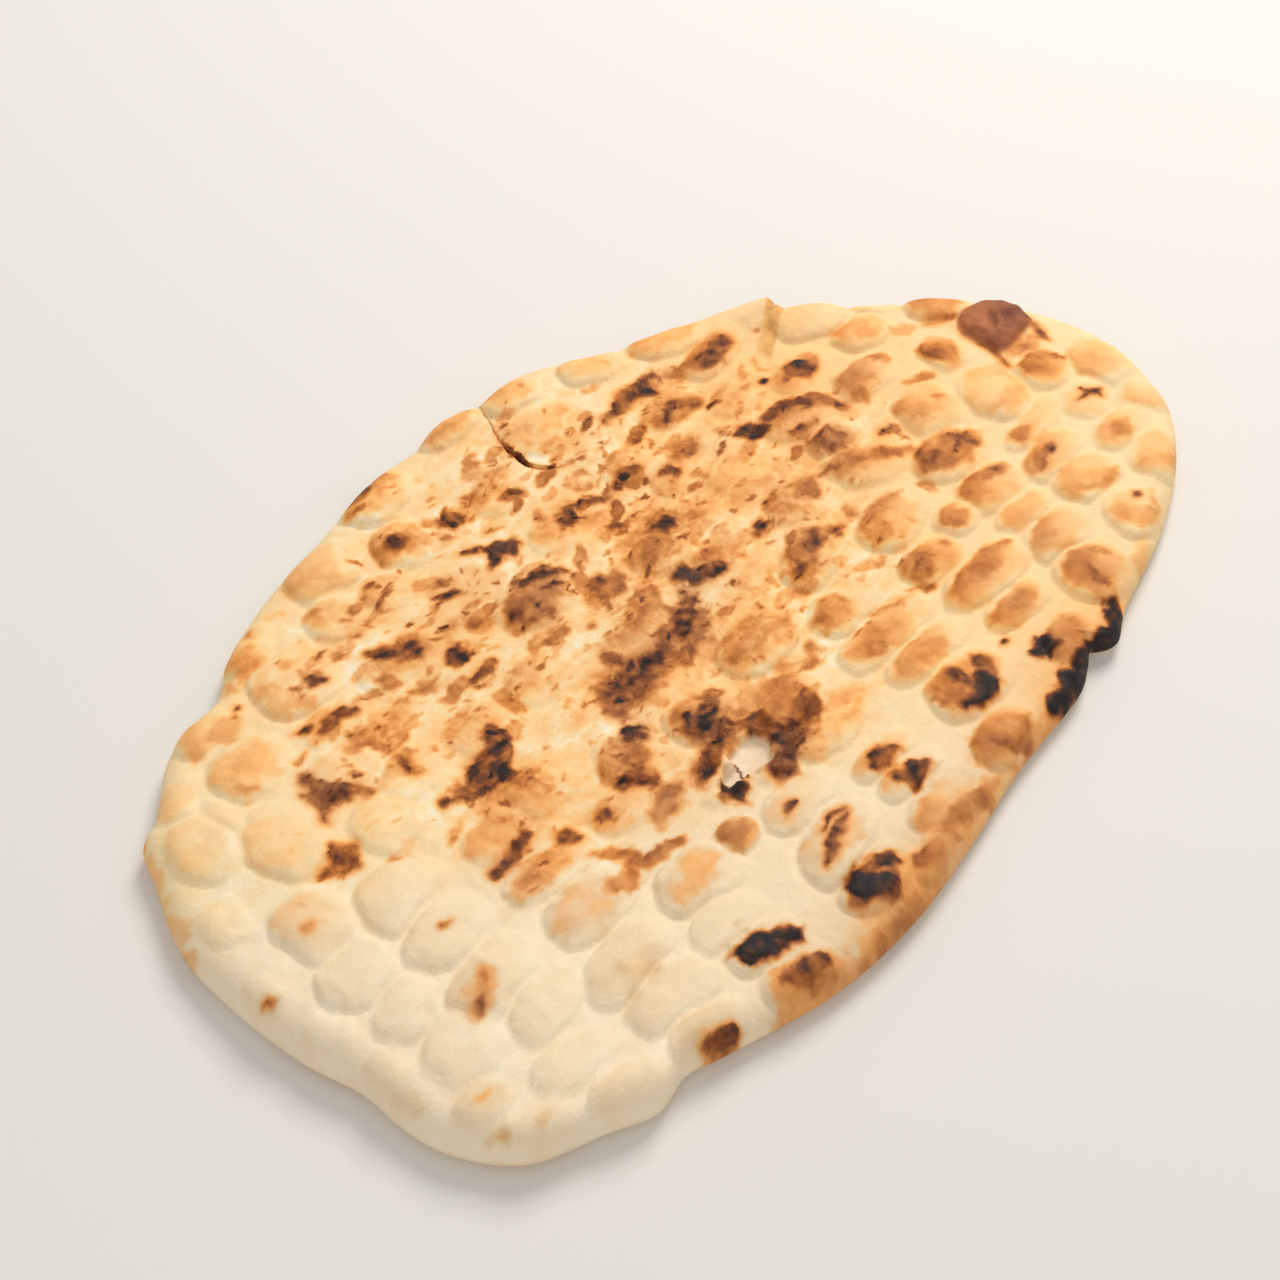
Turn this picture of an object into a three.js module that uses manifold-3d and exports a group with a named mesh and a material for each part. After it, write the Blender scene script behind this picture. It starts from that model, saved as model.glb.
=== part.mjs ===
// Taftoon: a hand-stretched flatbread, pressed with the fingertips so that it bakes up in pillows.
// Millimetres, +Z up. +X runs along the bread to its narrow end.
// The origin is on the surface the bread lies on, under the middle of its outline.
import * as THREE from "three";
import { mergeVertices } from "three/addons/utils/BufferGeometryUtils.js";
import Module from "manifold-3d";

const { clamp, degToRad, lerp, smoothstep } = THREE.MathUtils;

// ---- Driving dimensions ----------------------------------------------------------------------

const LENGTH = 413; // along X
const WIDTH = 260; // along Y
const CRUMB_THICKNESS = 10.5; // in the flat middle, between the pillows
const RIM_HEIGHT = 4.6; // where the half-round edge stands out furthest
const RIM_ROUND = 11; // how far in from the edge the top rounds over
const RIM_RINGS = 4; // rings of points on that round
const UNDERSIDE_ROUND = 9; // how far in the underside lifts off the table
const RINGS = 34; // rings of points from the middle of the top to its edge
const SIDES = 6; // points that each ring has more than the one inside it
const EVENING_POWER = 5; // the higher, the sooner the rings inside the edge turn into ovals

// The edge, counter-clockwise from the narrow end. It is scaled to LENGTH by WIDTH.
const OUTLINE = [
  [206, -33], [204, -5], [193, 19], [175, 40], [156, 56], [148, 67], [137, 75],
  [133, 80], [118, 92], [101, 101], [83, 107], [65, 115], [50, 125], [37, 129],
  [24, 128], [5, 132], [-10, 129], [-25, 130], [-55, 125], [-91, 118], [-120, 107],
  [-133, 97], [-159, 91], [-180, 74], [-188, 70], [-194, 57], [-205, 31], [-207, 4],
  [-205, -24], [-200, -46], [-200, -61], [-197, -77], [-184, -97], [-161, -108],
  [-145, -115], [-131, -113], [-119, -117], [-78, -129], [-41, -131], [-9, -127],
  [25, -121], [66, -117], [75, -113], [83, -109], [90, -114], [104, -108],
  [145, -96], [175, -81], [194, -64],
];

// Broad swellings of the whole loaf: middle, reach along X and Y, and height.
const SWELLINGS = [
  { x: -165, y: -20, reachX: 62, reachY: 115, height: 7 }, // the thick, pale end
  { x: -70, y: -100, reachX: 90, reachY: 40, height: 3.5 },
  { x: 120, y: -55, reachX: 95, reachY: 60, height: 2.2 },
  { x: 25, y: 112, reachX: 60, reachY: 26, height: 2.5 },
  { x: 150, y: 20, reachX: 30, reachY: 50, height: 1 },
];

// Pillows stand in columns across the bread. A pillow is as wide as its share of the column.
const COLUMNS = [
  { x: -178, length: 21, rise: 3.2, ys: [50, 26, 1, -18, -40, -76] },
  { x: -151, length: 27, rise: 3.8, ys: [82, 65, 35, 13, -8, -27, -52, -70, -87] },
  { x: -115, length: 28, rise: 3.6, ys: [97, 78, 57, 38, 20, 0, -24, -40, -58, -80, -96, -112] },
  { x: -84, length: 26, rise: 3, ys: [110, 92, 68, 47, 10, -9, -31, -52, -75, -104, -119] },
  { x: -41, length: 27, rise: 3, ys: [118, 97, 74, 44, 22, -2, -33, -72, -95, -114] },
  { x: 2, length: 26, rise: 3, ys: [121, 100, 80, 62, 30, 8, -25, -45, -64, -86, -98, -113] },
  { x: 33, length: 31, rise: 3.4, ys: [117, 97, 78, 58, 33, 9, -14, -36, -54, -70, -90, -111] },
  { x: 70, length: 30, rise: 2.6, ys: [98, 82, 66, 40, 13] },
  { x: 77, length: 30, rise: 3.6, ys: [-24, -46, -65, -82, -99] },
  { x: 96, length: 31, rise: 3, ys: [77, 53, 34, 15, -3] },
  { x: 112, length: 27, rise: 3.4, ys: [-20, -39, -57, -72, -91] },
  { x: 138, length: 25, rise: 3.2, ys: [62, 41, 20, -3, -35, -50, -64, -84] },
  { x: 160, length: 21, rise: 3, ys: [11, -15, -59, -75] },
  { x: 180, length: 18, rise: 2.6, ys: [-21, -40, -58] },
];
const PILLOW_FILL = 0.98; // share of the room in its column that a pillow takes up
const END_PILLOW_WIDTH = 19; // the most room that a pillow has
const STAGGER = 3; // every other pillow of a column sits this far along X
const DOME_POWER = 0.65; // below 1 a pillow has a flatter top and steeper sides
// In the flat middle, pillows keep only a share of their rise.
const FLATTENED = { x: -20, y: 42, length: 300, width: 124, keep: 0.4 };

// The big scorched blister near the narrow end, the blister that burst, and the low waves between.
const BLISTER = { x: 180, y: 8, length: 26, width: 28, rise: 3.4 };
const BURST = { x: -32, y: -53, length: 20, width: 14, depth: 3.4, lip: 2, lipReach: 11 };
const WAVES = { height: 0.55, alongX: 19, alongY: 13 };

// The torn flap: it curls up towards its tip, and drops to the bread beside it along the tear.
const FLAP = { root: [92, 92], tip: [134, 80], tearEnd: [121, 68], curl: 9, depth: 24 };

// Two tears, as centre lines from outside the edge to their inner ends, with the width at each point.
const CRACK = {
  line: [[26, 134], [23, 123], [19, 113], [15, 103], [14, 94], [16, 88], [20, 84]],
  widths: [2.4, 1.6, 1.2, 1.8, 2.6, 2.4, 0.3],
};
const FLAP_TEAR = {
  line: [[142, 85], [134, 79], [127, 73], [120, 68]],
  widths: [5, 2.4, 1.4, 0.3],
};
const TEAR_FLOOR = 3; // bread that still holds under a tear
const TEAR_TOP = 45; // above everything that a tear cuts

// ---- Relief ----------------------------------------------------------------------------------

// Every pillow, with its own width from how its column is shared out.
function pillowsOf(column) {
  const { x, length, rise, ys } = column;
  return ys.map((y, i) => {
    const gaps = [ys[i - 1] - y, y - ys[i + 1]].filter(Number.isFinite);
    const room = Math.min(...gaps, END_PILLOW_WIDTH);
    const shift = i % 2 ? STAGGER : -STAGGER;
    return { x: x + shift, y, length, width: room * PILLOW_FILL, rise };
  });
}

const PILLOWS = [...COLUMNS.flatMap(pillowsOf), BLISTER];

// How far a point is from the middle of an oval, where 1 is on the oval.
function ovalReach(oval, x, y) {
  return Math.hypot((2 * (x - oval.x)) / oval.length, (2 * (y - oval.y)) / oval.width);
}

function pillowRise(x, y) {
  const kept = lerp(FLATTENED.keep, 1, smoothstep(ovalReach(FLATTENED, x, y), 0.75, 1.1));
  const heights = PILLOWS.map((pillow) => {
    const reach = ovalReach(pillow, x, y);
    return reach < 1 ? pillow.rise * Math.pow(1 - reach * reach, DOME_POWER) : 0;
  });
  return kept * Math.max(...heights);
}

function swelling(x, y) {
  return SWELLINGS.reduce((sum, s) => {
    const reach = ((x - s.x) / s.reachX) ** 2 + ((y - s.y) / s.reachY) ** 2;
    return sum + s.height * Math.exp(-reach);
  }, 0);
}

// The hollow that the burst blister leaves, and the lip of crust around it.
function burstRelief(x, y) {
  const reach = ovalReach(BURST, x, y);
  const hollow = -BURST.depth * smoothstep(1.15 - reach, 0, 0.5);
  const beyond = ((reach - 1.4) * BURST.width) / BURST.lipReach;
  return hollow + BURST.lip * Math.exp(-beyond * beyond);
}

// The curl of the torn flap, which is only on the flap's own side of the tear.
function flapCurl(x, y) {
  const { root, tip, tearEnd, curl, depth } = FLAP;
  const side = (tip[0] - tearEnd[0]) * (y - tearEnd[1]) - (tip[1] - tearEnd[1]) * (x - tearEnd[0]);
  if (side < 0) return 0;
  const along = new THREE.Vector2(tip[0] - root[0], tip[1] - root[1]);
  const from = new THREE.Vector2(x - root[0], y - root[1]);
  const reach = clamp(from.dot(along) / along.lengthSq(), 0, 1);
  const inward = from.cross(along) / along.length();
  return curl * reach * reach * smoothstep(depth - inward, 0, depth);
}

function waves(x, y) {
  return WAVES.height * Math.sin(x / WAVES.alongX) * Math.cos(y / WAVES.alongY);
}

// The top of the bread, before its edge is rounded.
function topHeight(x, y) {
  return (
    CRUMB_THICKNESS + swelling(x, y) + pillowRise(x, y) + burstRelief(x, y) + flapCurl(x, y) + waves(x, y)
  );
}

// A half-round: 0 at the edge, 1 from `round` inwards.
function edgeShare(inset, round) {
  const out = clamp(1 - inset / round, 0, 1);
  return Math.sqrt(1 - out * out);
}

// ---- Mesh ------------------------------------------------------------------------------------

// The edge as a smooth closed curve that measures LENGTH by WIDTH about the origin.
function outlineCurve() {
  const raw = OUTLINE.map(([x, y]) => new THREE.Vector3(x, y, 0));
  const curve = new THREE.CatmullRomCurve3(raw, true, "centripetal");
  const samples = curve.getSpacedPoints(SIDES * RINGS);
  const box = new THREE.Box3().setFromPoints(samples);
  const middle = box.getCenter(new THREE.Vector3());
  const size = box.getSize(new THREE.Vector3());
  const fitted = raw.map((p) => {
    const x = ((p.x - middle.x) * LENGTH) / size.x;
    const y = ((p.y - middle.y) * WIDTH) / size.y;
    return new THREE.Vector3(x, y, 0);
  });
  return new THREE.CatmullRomCurve3(fitted, true, "centripetal");
}

// A point `share` of the way out to a point of the edge. Towards the middle the rings even out to ovals.
function pointInside(edge, share) {
  const turn = Math.atan2(edge.y / WIDTH, edge.x / LENGTH);
  const oval = new THREE.Vector3((LENGTH / 2) * Math.cos(turn), (WIDTH / 2) * Math.sin(turn), 0);
  return oval.lerp(edge, Math.pow(share, EVENING_POWER)).multiplyScalar(share);
}

// One ring of `count` points at `share` of the way out, on the top or on the underside.
function ring(curve, count, share, onTop) {
  return curve.getSpacedPoints(count).slice(0, count).map((edge) => {
    const { x, y } = pointInside(edge, share);
    const inset = Math.hypot(edge.x - x, edge.y - y);
    const lift = flapCurl(x, y);
    const z = onTop
      ? lerp(RIM_HEIGHT + lift, topHeight(x, y), edgeShare(inset, RIM_ROUND))
      : lerp(RIM_HEIGHT + lift, 0, edgeShare(inset, UNDERSIDE_ROUND));
    return new THREE.Vector3(x, y, z);
  });
}

// Shares of the way out: even steps, then the finer steps of the round edge.
function topShares() {
  const even = RINGS - RIM_RINGS;
  const roundShare = (2 * RIM_ROUND) / Math.sqrt(LENGTH * WIDTH);
  const steps = Array.from({ length: even }, (_, i) => ((i + 1) / even) * (1 - roundShare));
  for (let i = 1; i <= RIM_RINGS; i++) {
    const turn = degToRad((90 * i) / RIM_RINGS);
    steps.push(1 - roundShare * (1 - Math.sin(turn)));
  }
  return steps;
}

// The underside's rings, from the edge inwards, with fewer points each time.
const UNDERSIDE_SHARES = [0.985, 0.955, 0.91, 0.82, 0.68, 0.5, 0.3, 0.12];
const UNDERSIDE_THINNING = 0.82;

// Triangles between two rings that run the same way round, `inner` on the left of `outer`.
function stitch(outer, inner, triangles) {
  let a = 0;
  let b = 0;
  while (a < outer.length || b < inner.length) {
    const fromOuter = outer[a % outer.length];
    const fromInner = inner[b % inner.length];
    const outerLags = (a + 1) * inner.length <= (b + 1) * outer.length;
    if (outerLags) {
      a += 1;
      triangles.push(fromOuter, outer[a % outer.length], fromInner);
    } else {
      b += 1;
      triangles.push(fromOuter, inner[b % inner.length], fromInner);
    }
  }
}

// The whole bread as one closed surface: the rings of the top, then those of the underside.
function breadSurface() {
  const curve = outlineCurve();
  const points = [new THREE.Vector3(0, 0, topHeight(0, 0)), new THREE.Vector3(0, 0, 0)];
  const triangles = [];
  const addRing = (count, share, onTop) => {
    const first = points.length;
    points.push(...ring(curve, count, share, onTop));
    return Array.from({ length: count }, (_, i) => first + i);
  };
  let inner = [0];
  topShares().forEach((share, i) => {
    const outer = addRing(SIDES * (i + 1), share, true);
    stitch(outer, inner, triangles);
    inner = outer;
  });
  UNDERSIDE_SHARES.forEach((share) => {
    const next = addRing(Math.round(inner.length * UNDERSIDE_THINNING), share, false);
    stitch(inner.slice().reverse(), next.slice().reverse(), triangles);
    inner = next;
  });
  stitch(inner.slice().reverse(), [1], triangles);
  return { points, triangles };
}

// A tear as a closed sliver that tapers along its centre line.
function tearCutter({ line, widths }) {
  const centres = line.map(([x, y]) => new THREE.Vector2(x, y));
  const sideways = centres.map((p, i) => {
    const ahead = centres[Math.min(i + 1, centres.length - 1)];
    const behind = centres[Math.max(i - 1, 0)];
    const along = ahead.clone().sub(behind).normalize();
    return new THREE.Vector2(-along.y, along.x).multiplyScalar(widths[i] / 2);
  });
  const left = centres.map((p, i) => p.clone().add(sideways[i]));
  const right = centres.map((p, i) => p.clone().sub(sideways[i]));
  const shape = new THREE.Shape([...left, ...right.reverse()]);
  const sliver = new THREE.ExtrudeGeometry(shape, { depth: TEAR_TOP - TEAR_FLOOR, bevelEnabled: false });
  sliver.translate(0, 0, TEAR_FLOOR);
  return sliver;
}

// ---- Solid -----------------------------------------------------------------------------------

const wasm = await Module();
wasm.setup();

function solidOf(vertProperties, triVerts) {
  return new wasm.Manifold(new wasm.Mesh({ numProp: 3, vertProperties, triVerts }));
}

function solidOfGeometry(geometry) {
  geometry.deleteAttribute("normal");
  geometry.deleteAttribute("uv");
  const merged = mergeVertices(geometry);
  return solidOf(merged.attributes.position.array, new Uint32Array(merged.index.array));
}

function makeBread() {
  const { points, triangles } = breadSurface();
  const flat = new Float32Array(points.flatMap((p) => p.toArray()));
  let solid = solidOf(flat, new Uint32Array(triangles));
  for (const tear of [CRACK, FLAP_TEAR]) solid = solid.subtract(solidOfGeometry(tearCutter(tear)));
  const made = solid.getMesh();
  const geometry = new THREE.BufferGeometry();
  geometry.setAttribute("position", new THREE.BufferAttribute(made.vertProperties, made.numProp));
  geometry.setIndex(new THREE.BufferAttribute(made.triVerts, 1));
  geometry.computeVertexNormals();
  return geometry;
}

const crust = new THREE.MeshStandardMaterial({ color: "#e0ae72", roughness: 0.82, metalness: 0 });

const bread = new THREE.Mesh(makeBread(), crust);
bread.name = "bread";

const taftoon = new THREE.Group();
taftoon.add(bread);

export default taftoon;
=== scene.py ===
"""Taftoon: the looks of the bread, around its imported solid.

One mesh stands for the CAD node "bread". It has the solid's outline, thickness and swellings, with
pillows, tears and finer relief of its own. Each point also says how far its crust has baked, from raw
cream to char, and the crust material takes its colour from that. Shapes are in millimetres here, in
the frame of the part, and become metres where the mesh is made.
"""

import math

import bpy
import numpy as np
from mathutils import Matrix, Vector


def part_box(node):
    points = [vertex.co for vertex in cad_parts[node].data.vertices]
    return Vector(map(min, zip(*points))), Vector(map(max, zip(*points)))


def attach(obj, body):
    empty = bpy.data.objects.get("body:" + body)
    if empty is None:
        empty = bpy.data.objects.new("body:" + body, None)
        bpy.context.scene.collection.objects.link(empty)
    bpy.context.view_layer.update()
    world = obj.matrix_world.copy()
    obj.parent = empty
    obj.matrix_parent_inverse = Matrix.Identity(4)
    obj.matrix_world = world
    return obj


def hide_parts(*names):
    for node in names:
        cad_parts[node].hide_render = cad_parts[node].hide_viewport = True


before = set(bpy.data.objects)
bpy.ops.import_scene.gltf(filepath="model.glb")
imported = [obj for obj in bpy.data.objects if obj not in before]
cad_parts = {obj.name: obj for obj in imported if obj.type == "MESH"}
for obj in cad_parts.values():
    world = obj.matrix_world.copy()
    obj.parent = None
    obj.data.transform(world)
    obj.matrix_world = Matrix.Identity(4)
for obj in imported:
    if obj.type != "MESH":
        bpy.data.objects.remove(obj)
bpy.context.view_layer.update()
MM = 0.001

# ---- The loaf ------------------------------------------------------------------------------------

low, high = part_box("bread")
LENGTH, WIDTH = ((high - low) / MM)[:2]
CRUMB_THICKNESS = 10.5  # in the flat middle, between the pillows
RIM_HEIGHT = 4.6  # where the half-round edge stands out furthest
RIM_ROUND = 11.0  # how far in from the edge the top rounds over
RELIEF_ROUND = 5.0  # how far in from the edge the pillows reach their full height
UNDERSIDE_ROUND = 9.0  # how far in the underside lifts off the table
EVENING_POWER = 5  # the higher, the sooner the rings inside the edge turn into ovals

# The edge, counter-clockwise from the narrow end. It is scaled to LENGTH by WIDTH.
OUTLINE = [
    (206, -33), (204, -5), (193, 19), (175, 40), (156, 56), (148, 67), (137, 75), (133, 80),
    (118, 92), (101, 101), (83, 107), (65, 115), (50, 125), (37, 129), (24, 128), (5, 132),
    (-10, 129), (-25, 130), (-55, 125), (-91, 118), (-120, 107), (-133, 97), (-159, 91),
    (-180, 74), (-188, 70), (-194, 57), (-205, 31), (-207, 4), (-205, -24), (-200, -46),
    (-200, -61), (-197, -77), (-184, -97), (-161, -108), (-145, -115), (-131, -113),
    (-119, -117), (-78, -129), (-41, -131), (-9, -127), (25, -121), (66, -117), (75, -113),
    (83, -109), (90, -114), (104, -108), (145, -96), (175, -81), (194, -64),
]  # fmt: skip

# Broad swellings of the whole loaf: middle, reach along X and Y, and height.
SWELLINGS = [
    (-165, -20, 62, 115, 7.0),
    (-70, -100, 90, 40, 3.5),
    (120, -55, 95, 60, 2.2),
    (25, 112, 60, 26, 2.5),
    (150, 20, 30, 50, 1.0),
]

# Pillows: middle, length along X, width, turn in degrees, rise, and how far the top has baked.
PILLOWS = [
    # the thick, pale end
    (-177, 50, 23, 30, 0, 2.7, 0.18), (-191, 24, 17, 20, 0, 1.6, 0.10), (-146, 62, 28, 24, 5, 2.7, 0.25),
    (-146, 87, 24, 17, 25, 2.6, 0.28), (-159, 32, 27, 33, 8, 2.7, 0.20), (-173, 3, 25, 27, 0, 3.2, 0.22),
    (-177, -20, 26, 21, 0, 3.0, 0.11), (-148, -8, 33, 23, 4, 3.4, 0.13), (-148, -30, 34, 21, 2, 3.2, 0.16),
    (-150, -51, 37, 20, 12, 3.0, 0.18), (-175, -39, 26, 17, 28, 2.4, 0.08),
    (-145, -69, 31, 19, 4, 2.6, 0.11), (-172, -61, 25, 24, 0, 2.6, 0.08),
    (-181, -78, 18, 14, -10, 2.2, 0.14), (-153, -88, 30, 18, -8, 2.6, 0.09),
    (-174, -95, 23, 15, -24, 2.2, 0.12), (-148, -105, 28, 13, -14, 2.2, 0.15),
    (-126, 38, 26, 22, 0, 1.6, 0.26), (-130, 14, 26, 24, 0, 2.1, 0.20), (-199, -6, 13, 20, 0, 1.4, 0.10),
    (-196, -31, 15, 22, 0, 1.6, 0.06), (-193, -50, 14, 18, 0, 1.8, 0.09), (-165, 53, 11, 19, 0, 1.6, 0.14),
    (-170, 71, 22, 14, 30, 2.1, 0.22),
    # the upper left
    (-112, 78, 31, 28, 0, 3.2, 0.22), (-113, 101, 24, 15, 20, 2.5, 0.31), (-72, 107, 32, 24, 8, 3.2, 0.30),
    (-84, 90, 20, 20, 0, 2.2, 0.32), (-115, 57, 26, 15, 0, 1.4, 0.32), (-36, 118, 30, 20, 4, 3.4, 0.40),
    (-45, 96, 24, 22, 0, 2.8, 0.41), (6, 122, 30, 15, 0, 3.2, 0.37), (31, 116, 24, 18, -12, 3.2, 0.36),
    (27, 97, 30, 24, 0, 1.5, 0.36), (62, 105, 28, 18, -18, 2.8, 0.28), (92, 95, 30, 17, -22, 2.8, 0.32),
    # the flat, mottled middle
    (-82, 60, 30, 18, 0, 1.4, 0.35), (-82, 20, 28, 22, 0, 1.2, 0.34), (-30, 45, 36, 23, 14, 2.2, 0.51),
    (-2, 60, 28, 18, 0, 1.2, 0.40), (21, 29, 38, 22, 6, 2.0, 0.47), (-8, 12, 31, 18, 0, 0.9, 0.42),
    (-112, 22, 30, 20, 0, 1.2, 0.28), (-62, 84, 24, 18, 0, 1.4, 0.31), (40, 62, 28, 18, 0, 1.4, 0.37),
    (59, 31, 24, 18, 0, 1.6, 0.37), (66, 70, 28, 16, 0, 1.6, 0.41), (-54, 20, 26, 20, 0, 1.2, 0.37),
    (-88, -12, 26, 20, 0, 2.0, 0.33), (-110, -36, 34, 16, 0, 2.1, 0.35), (-60, -24, 26, 22, 35, 2.0, 0.41),
    (-30, -31, 28, 20, 0, 2.6, 0.45), (-110, -14, 30, 16, 6, 1.9, 0.33), (30, 12, 27, 18, 0, 1.2, 0.44),
    (44, 46, 22, 18, 0, 1.4, 0.37), (-76, -36, 26, 16, 0, 1.6, 0.35), (-2, 88, 30, 18, 0, 1.2, 0.39),
    # the lower left
    (-110, -55, 37, 23, 4, 3.5, 0.26), (-80, -73, 31, 22, 6, 3.6, 0.26), (-59, -71, 17, 14, 0, 2.4, 0.49),
    (-117, -77, 37, 19, 8, 3.3, 0.20), (-117, -94, 36, 19, -4, 3.0, 0.17),
    (-118, -110, 28, 15, -12, 2.8, 0.24), (-85, -118, 28, 15, -10, 3.2, 0.33),
    (-85, -104, 28, 15, -12, 3.0, 0.20), (-86, -89, 28, 16, 0, 2.2, 0.15),
    (-40, -96, 37, 21, 12, 3.4, 0.26), (-42, -114, 32, 18, 8, 3.2, 0.30), (-36, -77, 32, 16, 6, 2.4, 0.26),
    (-4, -86, 29, 13, 0, 2.3, 0.28), (-4, -97, 28, 13, 0, 2.3, 0.28), (-7, -66, 32, 17, 8, 2.3, 0.36),
    (-2, -112, 37, 18, 6, 2.2, 0.38), (-20, -122, 28, 13, 4, 2.6, 0.47), (-6, -48, 29, 16, 14, 2.2, 0.48),
    # the lower right, where the pillows stand apart
    (6, -24, 37, 22, 4, 3.0, 0.44), (48, -14, 34, 21, 16, 3.0, 0.52), (39, -36, 36, 19, 0, 2.8, 0.42),
    (38, -54, 44, 18, 0, 2.8, 0.43), (40, -70, 38, 16, 0, 2.7, 0.38), (38, -89, 34, 25, 0, 3.1, 0.44),
    (30, -110, 28, 20, 6, 3.0, 0.50), (79, -25, 35, 22, 6, 3.1, 0.46), (72, -47, 28, 19, -4, 3.0, 0.51),
    (93, -42, 18, 15, 0, 2.3, 0.46), (80, -65, 43, 18, 2, 3.0, 0.42), (77, -81, 31, 15, 0, 2.5, 0.38),
    (78, -102, 25, 18, 8, 2.5, 0.46), (113, -42, 31, 21, 0, 2.8, 0.39), (108, -91, 29, 27, 0, 3.3, 0.46),
    (113, -57, 29, 12, 0, 2.2, 0.34), (112, -72, 31, 19, 0, 3.0, 0.39), (116, -20, 32, 24, -4, 3.1, 0.48),
    (95, -1, 35, 22, -24, 3.0, 0.46), (129, -2, 27, 26, -8, 2.7, 0.38), (141, -48, 31, 17, 10, 2.8, 0.36),
    (141, -64, 29, 20, -8, 2.8, 0.33), (138, -86, 22, 20, 0, 2.7, 0.26), (150, -34, 33, 13, 6, 2.2, 0.32),
    (125, -100, 21, 12, 10, 1.7, 0.30), (152, -15, 27, 27, 0, 2.8, 0.27), (175, -21, 23, 21, 0, 3.0, 0.46),
    (192, -33, 23, 27, 0, 2.3, 0.32), (172, -42, 23, 17, 0, 1.7, 0.20), (169, -59, 28, 15, 4, 2.3, 0.29),
    (168, -77, 27, 20, 12, 2.5, 0.30), (190, -57, 16, 25, 30, 1.7, 0.26),
    # the upper right
    (156, 12, 18, 21, 0, 2.3, 0.52), (176, 31, 26, 18, -30, 3.2, 0.41), (145, 42, 25, 18, -10, 3.2, 0.34),
    (139, 62, 36, 22, -16, 3.8, 0.20), (128, 26, 28, 18, -8, 2.4, 0.40), (63, 7, 28, 20, 0, 2.2, 0.42),
    (96, 16, 24, 15, 0, 3.0, 0.51), (96, 32, 34, 21, -14, 2.6, 0.49), (111, 47, 26, 16, 0, 1.8, 0.39),
    (90, 56, 30, 16, 0, 1.6, 0.37), (98, 77, 32, 16, 8, 2.6, 0.41), (160, 50, 22, 13, -40, 2.4, 0.24),
]  # fmt: skip
STEEP_SIDE = 0.42  # a pillow stands this much higher at its -X side than at its +X side
DOME_POWER = 0.56  # below 1 a pillow has a flatter top and steeper sides
SQUARENESS = 2.5  # 2 for oval pillows, more for pillows with corners
CREASE_DEPTH = 0.5  # of the fold at a pillow's -X foot
CREASE_PINCH = 0.5  # how much lower the pillows are where two of them meet
GROOVE_WIDTH = 0.34  # of the creases between pillows, as a share of a pillow's half width

# The scorched blister near the narrow end: its corners, the folds across it, and its rise.
BLISTER = [(176, 21.5), (169, 16), (168.5, -4.5), (191.5, -3), (198, 9.5), (189, 19.5)]
BLISTER_FOLDS = [((171, 11), (172.5, 5), (176, 2)), ((182, 10), (178, 5)), ((186, 6), (181, 1))]
BLISTER_RISE = 4.6
CORNER_POWER = 9  # the higher, the sharper the blister's corners
FOLD_WIDTH = 1.3
# The blister that burst: middle, length, width and turn of its hollow, and of the hollow's narrow arm.
BURST, BURST_ARM = (-31.5, -53, 16, 14, 20), (-42, -54.6, 15, 6, 4)
BURST_DEPTH, BURST_LIP = 3.0, 1.6
# The flat, mottled middle: middle, length, width and turn.
MOTTLED = (-18, 34, 290, 200, 0)
WAVE_HEIGHT, WAVE_X, WAVE_Y = 0.55, 19, 13  # the low waves all over the top

# The torn flap curls up towards its tip, and drops to the bread beside it along the tear.
FLAP_ROOT, FLAP_TIP, FLAP_TEAR_END = (92, 92), (134, 80), (110, 65.5)
FLAP_CURL, FLAP_DEPTH = 9.0, 24.0
TORN_WIDTH = 7.0  # of the sloping torn face beside the flap
TORN_START, TORN_END = 109, 142  # the X between which it shows

# Two tears, as centre lines from outside the edge to their inner ends, with the width at each point.
CRACK = [
    (24, 134, 1.3), (21, 124, 1.1), (17, 115, 0.9), (13.5, 108, 1.0), (11.4, 101, 1.4),
    (10.4, 95, 1.9), (10.6, 89, 2.4), (12.4, 84.6, 2.4), (15.4, 82, 1.4), (18.6, 79.6, 0.3),
]  # fmt: skip
FLAP_TEAR = [(146, 84, 3.0), (138, 78.5, 1.6), (133, 76, 0.9), (128, 73, 0.3)]
TEAR_FLOOR = 3.0  # bread that still holds under a tear
TEAR_TOP = 45.0  # above everything that a tear cuts
TEAR_STEP = 0.8  # between the points along a tear's sides
# Painted shade: the crack's inside is made brown for the shade deep in its narrow gap.
CRACK_SHADE_HEAT = 0.88  # the crack is this brown inside, fading out towards the edge of the bread
CRACK_PALE, CRACK_FADE = 116, 14  # the Y where it has faded out, and how far before that it begins to

# ---- Noise ---------------------------------------------------------------------------------------

LATTICE_SIZE = 256
LATTICE = np.random.default_rng(11).random((LATTICE_SIZE, LATTICE_SIZE)) * 2 - 1


def noise(x, y, across, layer=0):
    """Smooth noise from -1 to 1, with bumps about `across` millimetres wide, other ones in each layer."""
    u, v = x / across + 37.73 * layer, y / across + 91.31 * layer
    column, row = np.floor(u).astype(int), np.floor(v).astype(int)
    share_u, share_v = ease(u - column), ease(v - row)

    def along_row(row):
        """The noise on one row of the lattice."""
        left, right = (LATTICE[k % LATTICE_SIZE, row % LATTICE_SIZE] for k in (column, column + 1))
        return left * (1 - share_u) + right * share_u

    return along_row(row) * (1 - share_v) + along_row(row + 1) * share_v


def layered(x, y, across, layer=0):
    """Noise with finer noise on it, from about -1 to 1."""
    total = 0.0
    for k in range(3):
        turned_x, turned_y = x * math.cos(k) - y * math.sin(k), x * math.sin(k) + y * math.cos(k)
        total = total + 0.5**k * noise(turned_x, turned_y, across * 0.5**k, layer + k)
    return total / 1.5


def veins(x, y, across, layer):
    """1 along thin winding lines, and 0 between them."""
    return np.clip(1 - 3 * np.abs(layered(x, y, across, layer)), 0, 1)


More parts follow.
